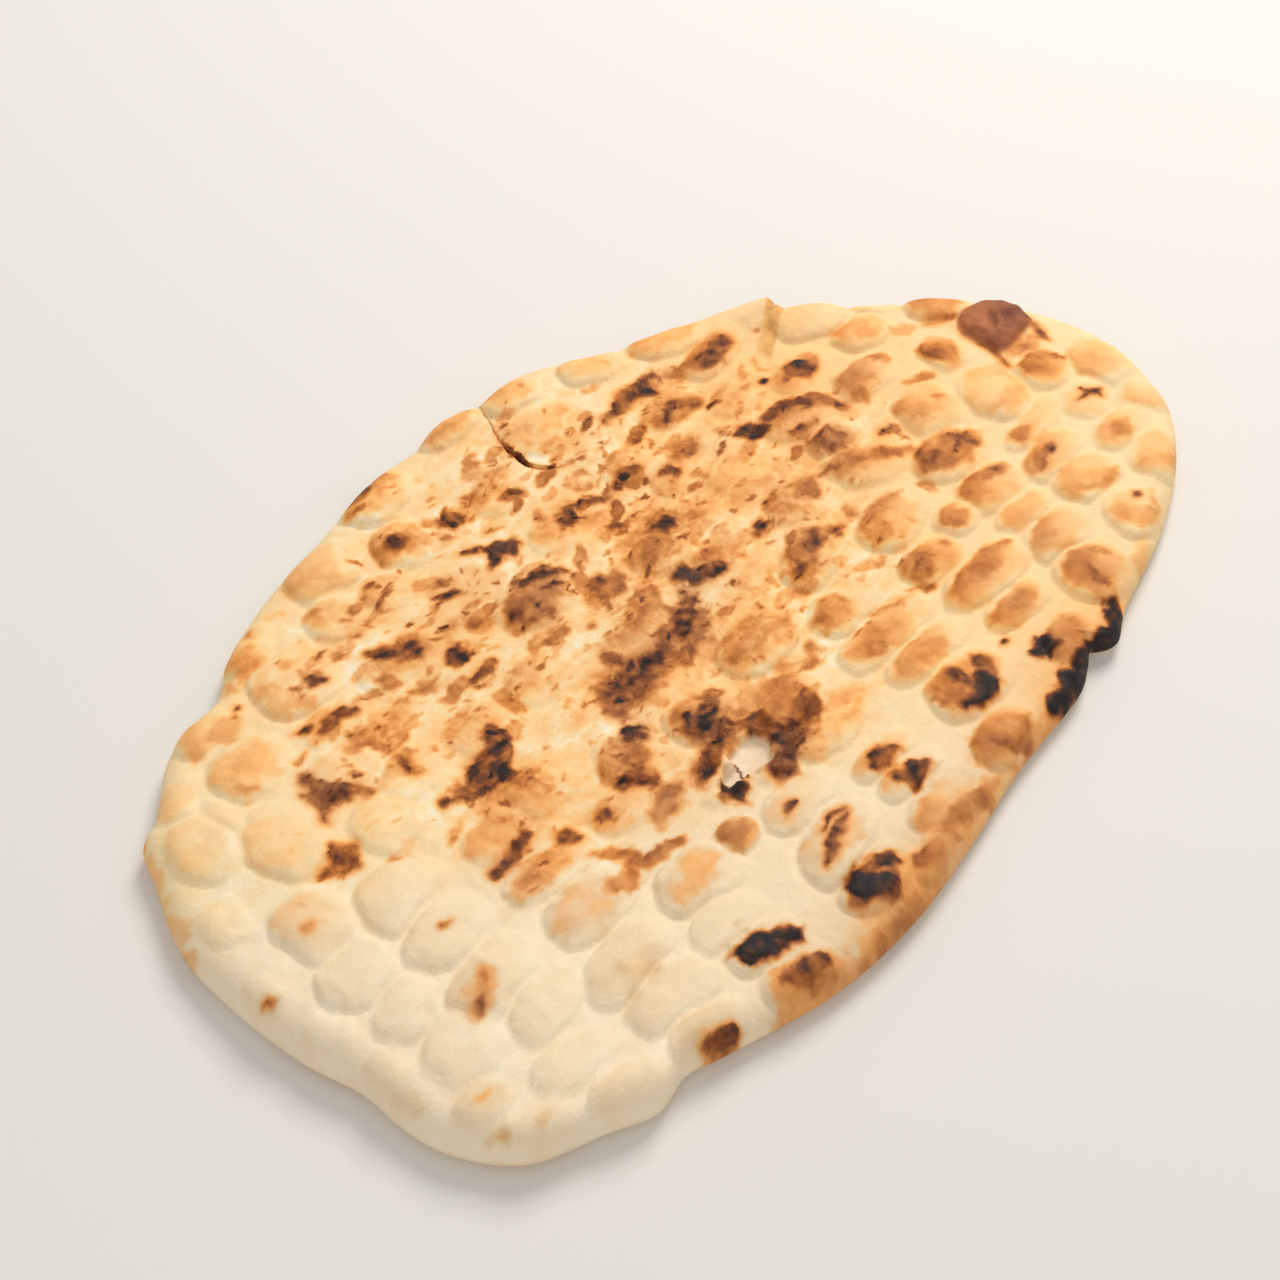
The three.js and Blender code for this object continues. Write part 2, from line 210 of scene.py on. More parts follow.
def warped(x, y, far, across, layer):
    """The same points, each moved by up to `far`."""
    return x + far * layered(x, y, across, layer), y + far * layered(x, y, across, layer + 3)


def near(x, y, points, reach):
    """Which points lie in the box round `points`, or at most `reach` outside it."""
    xs, ys = [p[0] for p in points], [p[1] for p in points]
    beside = (x > min(xs) - reach) & (x < max(xs) + reach)
    return beside & (y > min(ys) - reach) & (y < max(ys) + reach)


def ease(t):
    """0 to 1 with level ends."""
    t = np.clip(t, 0, 1)
    return t * t * (3 - 2 * t)


def hills(x, y, rows):
    """Smooth hills, added up. A row is a hill's middle, its reach along X and Y, and its height."""
    return sum(
        height * np.exp(-(((x - middle_x) / reach_x) ** 2) - ((y - middle_y) / reach_y) ** 2)
        for middle_x, middle_y, reach_x, reach_y, height in rows
    )


# ---- Relief --------------------------------------------------------------------------------------


def along_and_across(x, y, middle_x, middle_y, length, width, turn):
    """A point in an oval's own axes, where 1 is on the oval."""
    c, s = math.cos(math.radians(turn)), math.sin(math.radians(turn))
    dx, dy = x - middle_x, y - middle_y
    return 2 * (dx * c + dy * s) / length, 2 * (dy * c - dx * s) / width


def pillows_near(x, y):
    """Each pillow's rise and bake, with the points near it: how far out they are, where 1 is its foot."""
    for *middle, length, width, turn, rise, bake in PILLOWS:
        spot = near(x, y, [middle], 0.75 * max(length, width))
        along, across = along_and_across(x[spot], y[spot], *middle, length, width, turn)
        reach = (np.abs(along) ** SQUARENESS + np.abs(across) ** SQUARENESS) ** (1 / SQUARENESS)
        yield rise, bake, spot, reach, along, across


def groove_share(x, y):
    """1 in the creases where pillows meet, and 0 from a little way up their sides."""
    first, second = np.full_like(x, 9.0), np.full_like(x, 9.0)
    for _, _, spot, reach, _, _ in pillows_near(x, y):
        second[spot] = np.minimum(second[spot], np.maximum(first[spot], reach))
        first[spot] = np.minimum(first[spot], reach)
    return 1 - ease((second - first) / GROOVE_WIDTH)


def pillow_height(x, y):
    """Domes that lean to -X, with a fold in the dough at that side of their foot, and the blister."""
    x, y = warped(x, y, 2.2, 12, 3)
    height, fold = np.zeros_like(x), np.zeros_like(x)
    for rise, _, spot, reach, along, _ in pillows_near(x, y):
        lean = 1 - STEEP_SIDE * np.clip(along, -1, 1)
        dome = np.power(np.clip(1 - reach**2.3, 0, 1), DOME_POWER)
        height[spot] = np.maximum(height[spot], rise * dome * lean)
        side = ease((-along / np.maximum(reach, 0.1) - 0.1) / 0.6)
        foot = np.exp(-(((reach - 1.06) / 0.09) ** 2)) * side
        fold[spot] = np.maximum(fold[spot], foot * rise / 4)
    height = height * (1 - CREASE_PINCH * groove_share(x, y))
    share = np.power(np.clip(1 - blister_reach(x, y) ** 3, 0, 1), 0.5)
    folded = 1 + 0.14 * noise(x, y, 6, 9) - 0.34 * blister_folds(x, y)
    height = np.maximum(height, BLISTER_RISE * share * folded)
    return height - CREASE_DEPTH * fold * (1 - ease(height / 1.5))


def blister_reach(x, y):
    """How far out from the blister's middle, where 1 is its foot, which has rounded corners."""
    middle_x, middle_y = np.mean(BLISTER, 0)

    def beside(px, py, ax, ay, bx, by):
        """How far out a point is in the direction that the side from A to B faces, to some scale."""
        return (px - middle_x) * (by - ay) - (py - middle_y) * (bx - ax)

    total = 0.0
    for (ax, ay), (bx, by) in zip(BLISTER, BLISTER[1:] + BLISTER[:1]):
        out = beside(x, y, ax, ay, bx, by) / beside(ax, ay, ax, ay, bx, by)
        total = total + np.maximum(out, 0) ** CORNER_POWER
    return total ** (1 / CORNER_POWER)


def blister_folds(x, y):
    """1 in the folds across the blister."""
    return sum(np.exp(-((distance_to(x, y, points) / FOLD_WIDTH) ** 2)) for points in BLISTER_FOLDS)


def burst_reach(x, y):
    """1 on the ragged edge of the burst blister's hollow, and less inside it."""
    hollow, arm = (np.hypot(*along_and_across(x, y, *oval)) for oval in (BURST, BURST_ARM))
    return np.minimum(hollow, arm) + 0.24 * noise(x, y, 4, 21) + 0.10 * noise(x, y, 1.8, 24)


def burst_relief(x, y):
    """The hollow of the burst blister, with an uneven lip round it."""
    reach = burst_reach(x, y)
    hollow = -BURST_DEPTH * ease((1.12 - reach) / 0.3)
    lip = BURST_LIP * np.exp(-(((reach - 1.35) / 0.45) ** 2)) * (1 + 0.8 * noise(x, y, 5, 22))
    return hollow + lip


def flap_side(x, y):
    """How far each point is from the flap's tear, and more than 0 on the flap's own side of it."""
    (tx, ty), (ex, ey) = FLAP_TIP, FLAP_TEAR_END
    return ((tx - ex) * (y - ey) - (ty - ey) * (x - ex)) / math.hypot(tx - ex, ty - ey)


def flap_curl(x, y):
    """The curl of the torn flap, with the torn face that slopes down from its edge."""
    (rx, ry), (tx, ty) = FLAP_ROOT, FLAP_TIP
    side = flap_side(x, y)
    ax, ay = tx - rx, ty - ry
    length = math.hypot(ax, ay)
    reach = np.clip(((x - rx) * ax + (y - ry) * ay) / length**2, 0, 1)
    inward = ((x - rx) * ay - (y - ry) * ax) / length
    curl = FLAP_CURL * reach**2 * ease((FLAP_DEPTH - inward) / FLAP_DEPTH)
    return curl * np.clip(1 + side / TORN_WIDTH, 0, 1)


def top_height(x, y, heat):
    """The top of the bread before its edge is rounded. Scorched crust stands up in small blisters."""
    return CRUMB_THICKNESS + hills(x, y, SWELLINGS) + flap_curl(x, y) + relief(x, y, heat)


def relief(x, y, heat):
    """The pillows and all the smaller shapes on the top."""
    blistered = ease((heat - 0.55) / 0.3)
    return (
        0.9 * pillow_height(x, y)
        + burst_relief(x, y)
        + WAVE_HEIGHT * np.sin(x / WAVE_X) * np.cos(y / WAVE_Y)
        + 0.45 * layered(x * 0.7, y, 9, 5)
        + 0.16 * noise(x, y, 2.6, 6)
        + 0.5 * veins(*warped(x, y, 4, 14, 28), 22, 29) * ease((-x - 90) / 40)
        + blistered * (0.35 + 0.5 * noise(x, y, 3.4, 7))
    )


def edge_share(inset, round_over):
    """A half-round: 0 at the edge, 1 from `round_over` inwards."""
    out = np.clip(1 - inset / round_over, 0, 1)
    return np.sqrt(1 - out * out)


# ---- Baking --------------------------------------------------------------------------------------
# Heat is 0 for raw cream, 0.4 for gold, 0.6 for orange-brown, 0.8 for dark brown and 1 for char.

BASE_HEAT = 0.10
# Broad areas that baked more: middle, reach along X and Y, and heat added.
WARM_AREAS = [
    (-15, 42, 110, 60, 0.14),
    (-60, -20, 60, 34, 0.10),
    (95, 30, 60, 60, 0.07),
    (-20, 0, 60, 40, 0.05),
    (60, 20, 60, 70, 0.05),
    (-10, -124, 75, 17, 0.24),
    (78, -112, 34, 20, 0.24),
    (-50, -122, 40, 12, 0.08),
]

# Browned places that stayed dull: middle, and reach along X and Y.
DULL_AREAS = [
    (-31, 43, 15, 10), (-22, -1, 26, 9), (12, 10, 11, 8), (-137, 37, 10, 12), (-34, -33, 10, 8),
    (-50, -19, 8, 6), (93, 15, 10, 7), (-64, -45, 10, 7), (-25, -60, 12, 6),
]  # fmt: skip

# Strokes of heat: how hot, how wide, and the points that they run through.
TOASTS = [
    (0.44, 6, (-156, 78), (-149, 89)), (0.40, 10, (-84, 104), (-70, 100)), (0.46, 7, (-88, 94), (-82, 90)),
    (0.50, 11, (-44, 120), (-30, 121)), (0.50, 6, (-2, 121), (14, 122)), (0.40, 5, (24, 116), (38, 114)),
    (0.36, 6, (80, 98), (104, 93)), (0.30, 5, (-201, 32), (-197, 50), (-189, 66)),
    (0.54, 10, (-4, -26), (8, -22), (18, -24)), (0.58, 8, (22, -109), (38, -111)),
    (0.52, 5, (70, 84), (92, 78)), (0.52, 16, (0, 31), (18, 36), (32, 31)),
    (0.46, 10, (-122, -36), (-100, -34)), (0.46, 10, (-118, -15), (-104, -15)),
    (0.42, 11, (-116, 43), (-98, 46)), (0.36, 13, (-122, -56), (-104, -54)),
    (0.38, 11, (-90, -75), (-74, -72)), (0.48, 11, (-8, -66), (8, -62)), (0.36, 11, (-42, -98), (-30, -92)),
    (0.30, 10, (-126, -84), (-112, -80)), (0.46, 6, (60, 66), (76, 68)), (0.50, 14, (-38, 44), (-18, 48)),
    (0.48, 10, (-90, 62), (-74, 60)), (0.46, 8, (-104, -4), (-84, -8)), (0.44, 10, (-20, 88), (0, 92)),
    (0.48, 11, (-46, 100), (-42, 92)), (0.42, 8, (20, 98), (36, 96)), (0.32, 3, (-176, -95), (-172, -95)),
    (0.46, 8, (-64, 22), (-56, 24)), (0.50, 8, (-58, 56), (-50, 50)), (0.46, 6, (50, 54), (60, 52)),
    (0.36, 9, (-164, -56), (-152, -50)), (0.50, 9, (176, -8), (184, -6)),
    (0.44, 4, (131, -63), (138, -67), (148, -70)), (0.46, 4, (157.6, -75), (165, -82), (174, -80)),
    (0.44, 4, (133, -82), (134, -90), (143, -92)), (0.50, 8, (171, 31), (180, 27)),
    (0.40, 4, (-190, 67), (-186, 71)), (0.46, 5, (58, -117), (40, -119), (20, -122)),
    (0.42, 9, (144, 46), (147, 40)), (0.42, 6, (155, 33), (158, 30)), (0.52, 7, (-122, 93), (-112, 99.5)),
    (0.44, 6, (-129, 95), (-127, 95)), (0.46, 6, (-146, 80.4), (-137.6, 78.8)),
    (0.36, 15, (-150, 61), (-140, 63)), (0.44, 7, (-149.5, 63), (-146.5, 61)),
    (0.42, 7, (143, -18), (149.8, -22.4), (158.8, -21.4)), (0.34, 6, (161, -16), (160, -8), (154, -4)),
    (0.38, 4, (-205, 33), (-206, 24)), (0.24, 5, (-196, -58), (-193, -64)),
    (0.26, 4, (-187, -85), (-183, -90)), (0.34, 3.4, (-177, 1), (-174, 1)),
    (0.34, 3.4, (-87, -93), (-86, -93)), (0.56, 15, (-66, -132), (-48, -133), (-28, -130)),
    (0.50, 16, (-94, -124), (-74, -127)), (0.40, 5, (-108, 55), (-98, 54)),
    (0.54, 9, (-28, -37), (-14, -41), (4, -41)), (0.50, 7, (-52, -46), (-48, -43)),
    (0.50, 6, (-8, 101), (-3.6, 97), (2.6, 91.6)), (0.52, 4, (0, 57.5), (11, 53)),
    (0.52, 8, (-28, 10.5), (-23, 10.8)), (0.50, 4, (19, 90.8), (24, 88.8)), (0.52, 8, (-55, 73), (-47, 70)),
    (0.52, 7, (172, -6.8), (183, -7.4)), (0.46, 12, (-6, -22), (14, -24)), (0.48, 7, (-14, 36), (-12, 27)),
    (0.50, 5, (5, 37.6), (8, 37.6)), (0.42, 7, (-122.5, 80), (-121, 72.5), (-115, 68)),
    (0.28, 6, (-182, -76), (-177, -79)), (0.48, 4, (-157.4, 56.6), (-152, 53)),
    (0.50, 6, (-109, 46), (-102, 47)), (0.50, 6, (-110, 30), (-106, 29)), (0.50, 9, (18, -108), (27, -111)),
    (0.48, 7, (126, -4), (124, 3)), (0.44, 6, (142, 41), (148, 39)),
    (0.42, 12, (-62, -134), (-40, -135), (-10, -131), (24, -126), (50, -122)),
    (0.50, 8, (-20, -121), (-8, -119), (3, -119)),
]  # fmt: skip
BROWNS = [
    (0.65, 10, (-18, 29), (-8, 30)), (0.63, 12, (8, 30), (20, 34), (28, 33)),
    (0.65, 9, (-102, -57), (-94, -56)), (0.63, 9, (-62, -72), (-56, -70)),
    (0.65, 4, (66, -22), (76, -18), (88, -19)), (0.57, 7, (72, -81), (84, -81)),
    (0.63, 5, (102, -40), (112, -36), (124, -39)), (0.67, 11, (108, -20), (128, -22)),
    (0.67, 6, (131, -49), (141, -46)), (0.57, 4, (137, -36), (144, -35)),
    (0.49, 3, (131, -66), (140, -72), (150, -70)),
    (0.45, 3, (131, -80), (135, -90), (145, -91), (150, -84)), (0.65, 9, (153, 8), (156, 14)),
    (0.61, 6, (62, 8), (70, 6), (73, 10), (66, 12)), (0.67, 8, (38, -16), (47, -12), (58, -12)),
    (0.58, 5, (-24, -122), (8, -119.5), (16, -118)), (0.63, 6, (-69, 17), (-68, 25)),
    (0.65, 7, (50, 53), (59, 52)), (0.61, 8, (58, 67), (74, 66)), (0.69, 9, (92, 75), (106, 77)),
    (0.61, 5, (80, 81), (92, 79)), (0.59, 7, (-92, -6), (-84, -10)), (0.61, 8, (-10, 14), (-2, 18)),
    (0.57, 8, (-119, 44), (-102, 45)), (0.57, 7, (-120, -34), (-102, -36)),
    (0.52, 3, (107, 64), (105, 59), (106, 56)), (0.50, 3, (91, 56), (95, 56)),
    (0.51, 6, (170, 30), (176, 26)), (0.65, 6, (-88, -121), (-78, -124)), (0.61, 8, (-48, 98), (-43, 92)),
    (0.61, 10, (24, -108), (36, -112)), (0.69, 9, (-108, 4), (-98, 2)), (0.51, 4, (102, 66), (96, 60)),
    (0.57, 5, (-17, 88), (-10, 90)), (0.57, 5, (118, 46), (122, 50)), (0.55, 4, (-124, -6), (-116, -3)),
    (0.61, 5, (-86, 46), (-82, 44)), (0.66, 5, (-16, -117), (6, -119.5)),
    (0.56, 3, (31, -33), (36, -32), (37, -37), (32, -40)), (0.80, 3.5, (50, -13), (55, -9)),
    (0.66, 4, (58, -13.5), (61, -14)), (0.58, 3, (78, -22), (82, -21)), (0.56, 3.5, (67, -25), (70, -29)),
    (0.68, 5, (65, -43), (67, -49)), (0.62, 3, (79, -46), (81, -46)),
    (0.66, 3.5, (66, -61), (76, -61), (84, -59), (97, -61.5)), (0.62, 6, (77, -80), (82, -82)),
    (0.70, 5, (23, -111), (30, -115.5), (38, -112)), (0.58, 3, (26, -18), (30, -22), (36, -24)),
    (0.62, 4, (70, -8), (71, -12)), (0.50, 3, (57, -31), (57, -34)),
    (0.72, 2.5, (59, -53.5), (62, -52), (65, -54.5)), (0.54, 2.5, (98, -22), (99, -28)),
    (0.62, 5, (137, -36), (142, -34)), (0.60, 3.5, (111, -85), (115, -90)), (0.60, 6, (84, 6), (92, 4)),
    (0.62, 4, (97, -1), (109, -7)), (0.62, 6, (108, -18), (120, -19)), (0.56, 5, (103, -69), (110, -73)),
    (0.58, 6, (170, -60), (162, -59)), (0.56, 2.5, (132, 33), (137, 30), (139, 26)),
    (0.56, 2, (124.5, 26.5), (127.5, 20.5)), (0.50, 2.5, (114, 30), (115, 29)),
    # The stroke round (117, 73) on the next line is a painted shadow of the flap's torn face.
    (0.54, 6, (118, 22), (120, 21)), (0.76, 6, (105, 35), (108, 30)), (0.60, 3.5, (117, 73), (118, 72)),
    (0.60, 5, (-157, 11), (-149, 10)), (0.62, 3.5, (-102, 57.2), (-96.5, 56.2)),
    (0.64, 3, (-118, 43), (-113, 41.5)), (0.66, 15, (-36, 43.5), (-26, 42)),
    (0.74, 5.5, (-54, 52.2), (-51.5, 51)), (0.61, 12, (-14, -44), (-2, -45)),
    (0.58, 8, (-12, -51), (-2, -50)), (0.60, 4, (5, -43), (11, -42.5), (17.5, -37.5)),
    (0.60, 2.2, (-2, -24), (4, -20.5), (10.5, -19.5)), (0.58, 2.2, (-1, -27.5), (6, -25), (11.5, -21)),
    (0.66, 3.6, (175, -14), (181, -16.5), (183.5, -23)), (0.64, 3, (178, -8), (180.5, -8)),
    (0.60, 9, (98, -91), (103, -96)), (0.60, 12, (72, -104), (80, -101)),
    (0.42, 4.5, (-163, -58), (-150, -50)), (0.60, 5, (-49, 118), (-40, 124), (-26, 126)),
    (0.62, 3, (-116.5, 74.2), (-113, 73)), (0.60, 2.6, (-108.6, 78.5), (-110, 75.5)),
    (0.62, 4, (-95.5, 76), (-92, 77)), (0.52, 3.5, (-112, 85.4), (-110, 85.4)),
    (0.70, 3, (-108, 105.4), (-110, 103)), (0.60, 2.4, (-129.6, 53.4), (-135.6, 52)),
    (0.70, 4.5, (-18.5, 92.3), (-14, 91)), (0.66, 4, (-20, 78), (-15.5, 77)),
    (0.58, 2.4, (-7, 92), (-1.5, 86)), (0.60, 3, (-3, 82), (-0.5, 81)), (0.58, 2.4, (18, 73), (23, 70)),
    (0.56, 2.6, (14, 70), (21.5, 64.5)), (0.60, 3.4, (-29, 22.4), (-26, 23.4)),
    (0.60, 4, (-5.5, 69), (-3, 70)), (0.58, 4, (-35, 97), (-32, 96.5)),
    (0.58, 4, (-33.5, 87.5), (-31, 86.5)), (0.66, 3.4, (18, -2.5), (20, -1)),
    (0.60, 3.4, (-5, -13), (-2.5, -12.6)), (0.60, 4, (-15.5, -23), (-12.5, -23)),
    (0.60, 3, (-6, 16.5), (-4, 17)), (0.62, 9, (-60, -129), (-44, -130)), (0.60, 3, (33, -37), (37, -35)),
    (0.44, 2.4, (-183, -76), (-179.5, -77.5)), (0.40, 2, (-186, -86), (-184, -90)),
    (0.66, 3, (-46.5, 39.5), (-44.5, 37.5)), (0.55, 8, (22, -55), (38, -54)),
    (0.68, 5.5, (24, -57), (33, -54.5)), (0.60, 2.4, (40, -47.5), (54, -51.5)),
    (0.52, 6, (30, -70), (44, -71.5)), (0.60, 2.6, (34, -71), (40, -72)),
    (0.70, 6.5, (-95.5, -41), (-92, -47.5), (-86, -56), (-73, -58)),
    (0.66, 8.5, (-72.5, -47.5), (-63, -44.6), (-56, -43)), (0.64, 11, (29, -88), (32, -84)),
    (0.68, 9, (-62, -30), (-54, -20)), (0.66, 6, (64, -44), (71, -47)),
    (0.64, 5.5, (64, -62), (78, -62.5), (90, -61.5)), (0.64, 6, (90, -42), (96, -42)),
    (0.66, 5, (80, 8), (90, 3), (100, -3.6), (109, -8)), (0.68, 10, (90, 17.4), (98, 12)),
    (0.62, 2.4, (131, 33), (137, 29.5)), (0.62, 2.2, (138, 28), (141, 26)),
    (0.62, 2.2, (123, 25.4), (128, 23.8)), (0.62, 3.6, (134, 12), (143.5, 9)),
    (0.60, 3, (117, 23.6), (121, 21.6)), (0.60, 2.4, (133.6, 0), (136.4, -2)),
    (0.60, 2.4, (113, 31), (117, 29.4)), (0.74, 3.2, (109.6, 4), (112, 1.6)),
    (0.62, 2.4, (112, 0), (112.4, -4)), (0.58, 4, (70, -8.6), (73, -10.4)),
    (0.60, 3, (98, -23), (99.4, -28)), (0.68, 5, (71, 9.6), (69, 4)),
    (0.60, 3.4, (-128.5, 27), (-125.6, 26.2)), (0.58, 2, (-127.6, 38.4), (-124.6, 37)),
    (0.58, 2, (-126.4, 34.4), (-123, 32.8)), (0.62, 3, (-114.4, 22.4), (-109.8, 21.6)),
    (0.60, 3, (-140.4, 1.6), (-138, 1)), (0.62, 3, (-84, 84), (-81.6, 83)),
    (0.64, 5, (-91.5, 57), (-88.5, 54.5)), (0.62, 5, (-87.5, 47), (-84, 44.5)),
    (0.62, 4.5, (-114, 42), (-110.6, 37.4)), (0.62, 3, (-89.5, 96.6), (-86.5, 93)),
    (0.60, 3, (-96, 47), (-92, 46)), (0.64, 3.4, (55.5, -48.6), (62.8, -54.4)),
    (0.70, 17, (-42, -3), (-36, -5), (-28, -5)), (0.66, 14, (-30, -2), (-17, -5), (-5, -3), (3, 5)),
    (0.66, 8, (-48, -10), (-40, -8)), (0.66, 10, (-46, -46), (-34, -41), (-24, -43), (-18, -52)),
    (0.64, 9, (-24, -62), (-34, -66)), (0.66, 2.4, (24.4, -91), (24, -85), (27, -80.5)),
    # Painted shade: the next stroke runs along the crack and darkens its gap.
    (0.84, 2, (12, 103), (10.4, 95), (10.6, 89), (12.4, 84.6), (16, 81.6)),
]  # fmt: skip
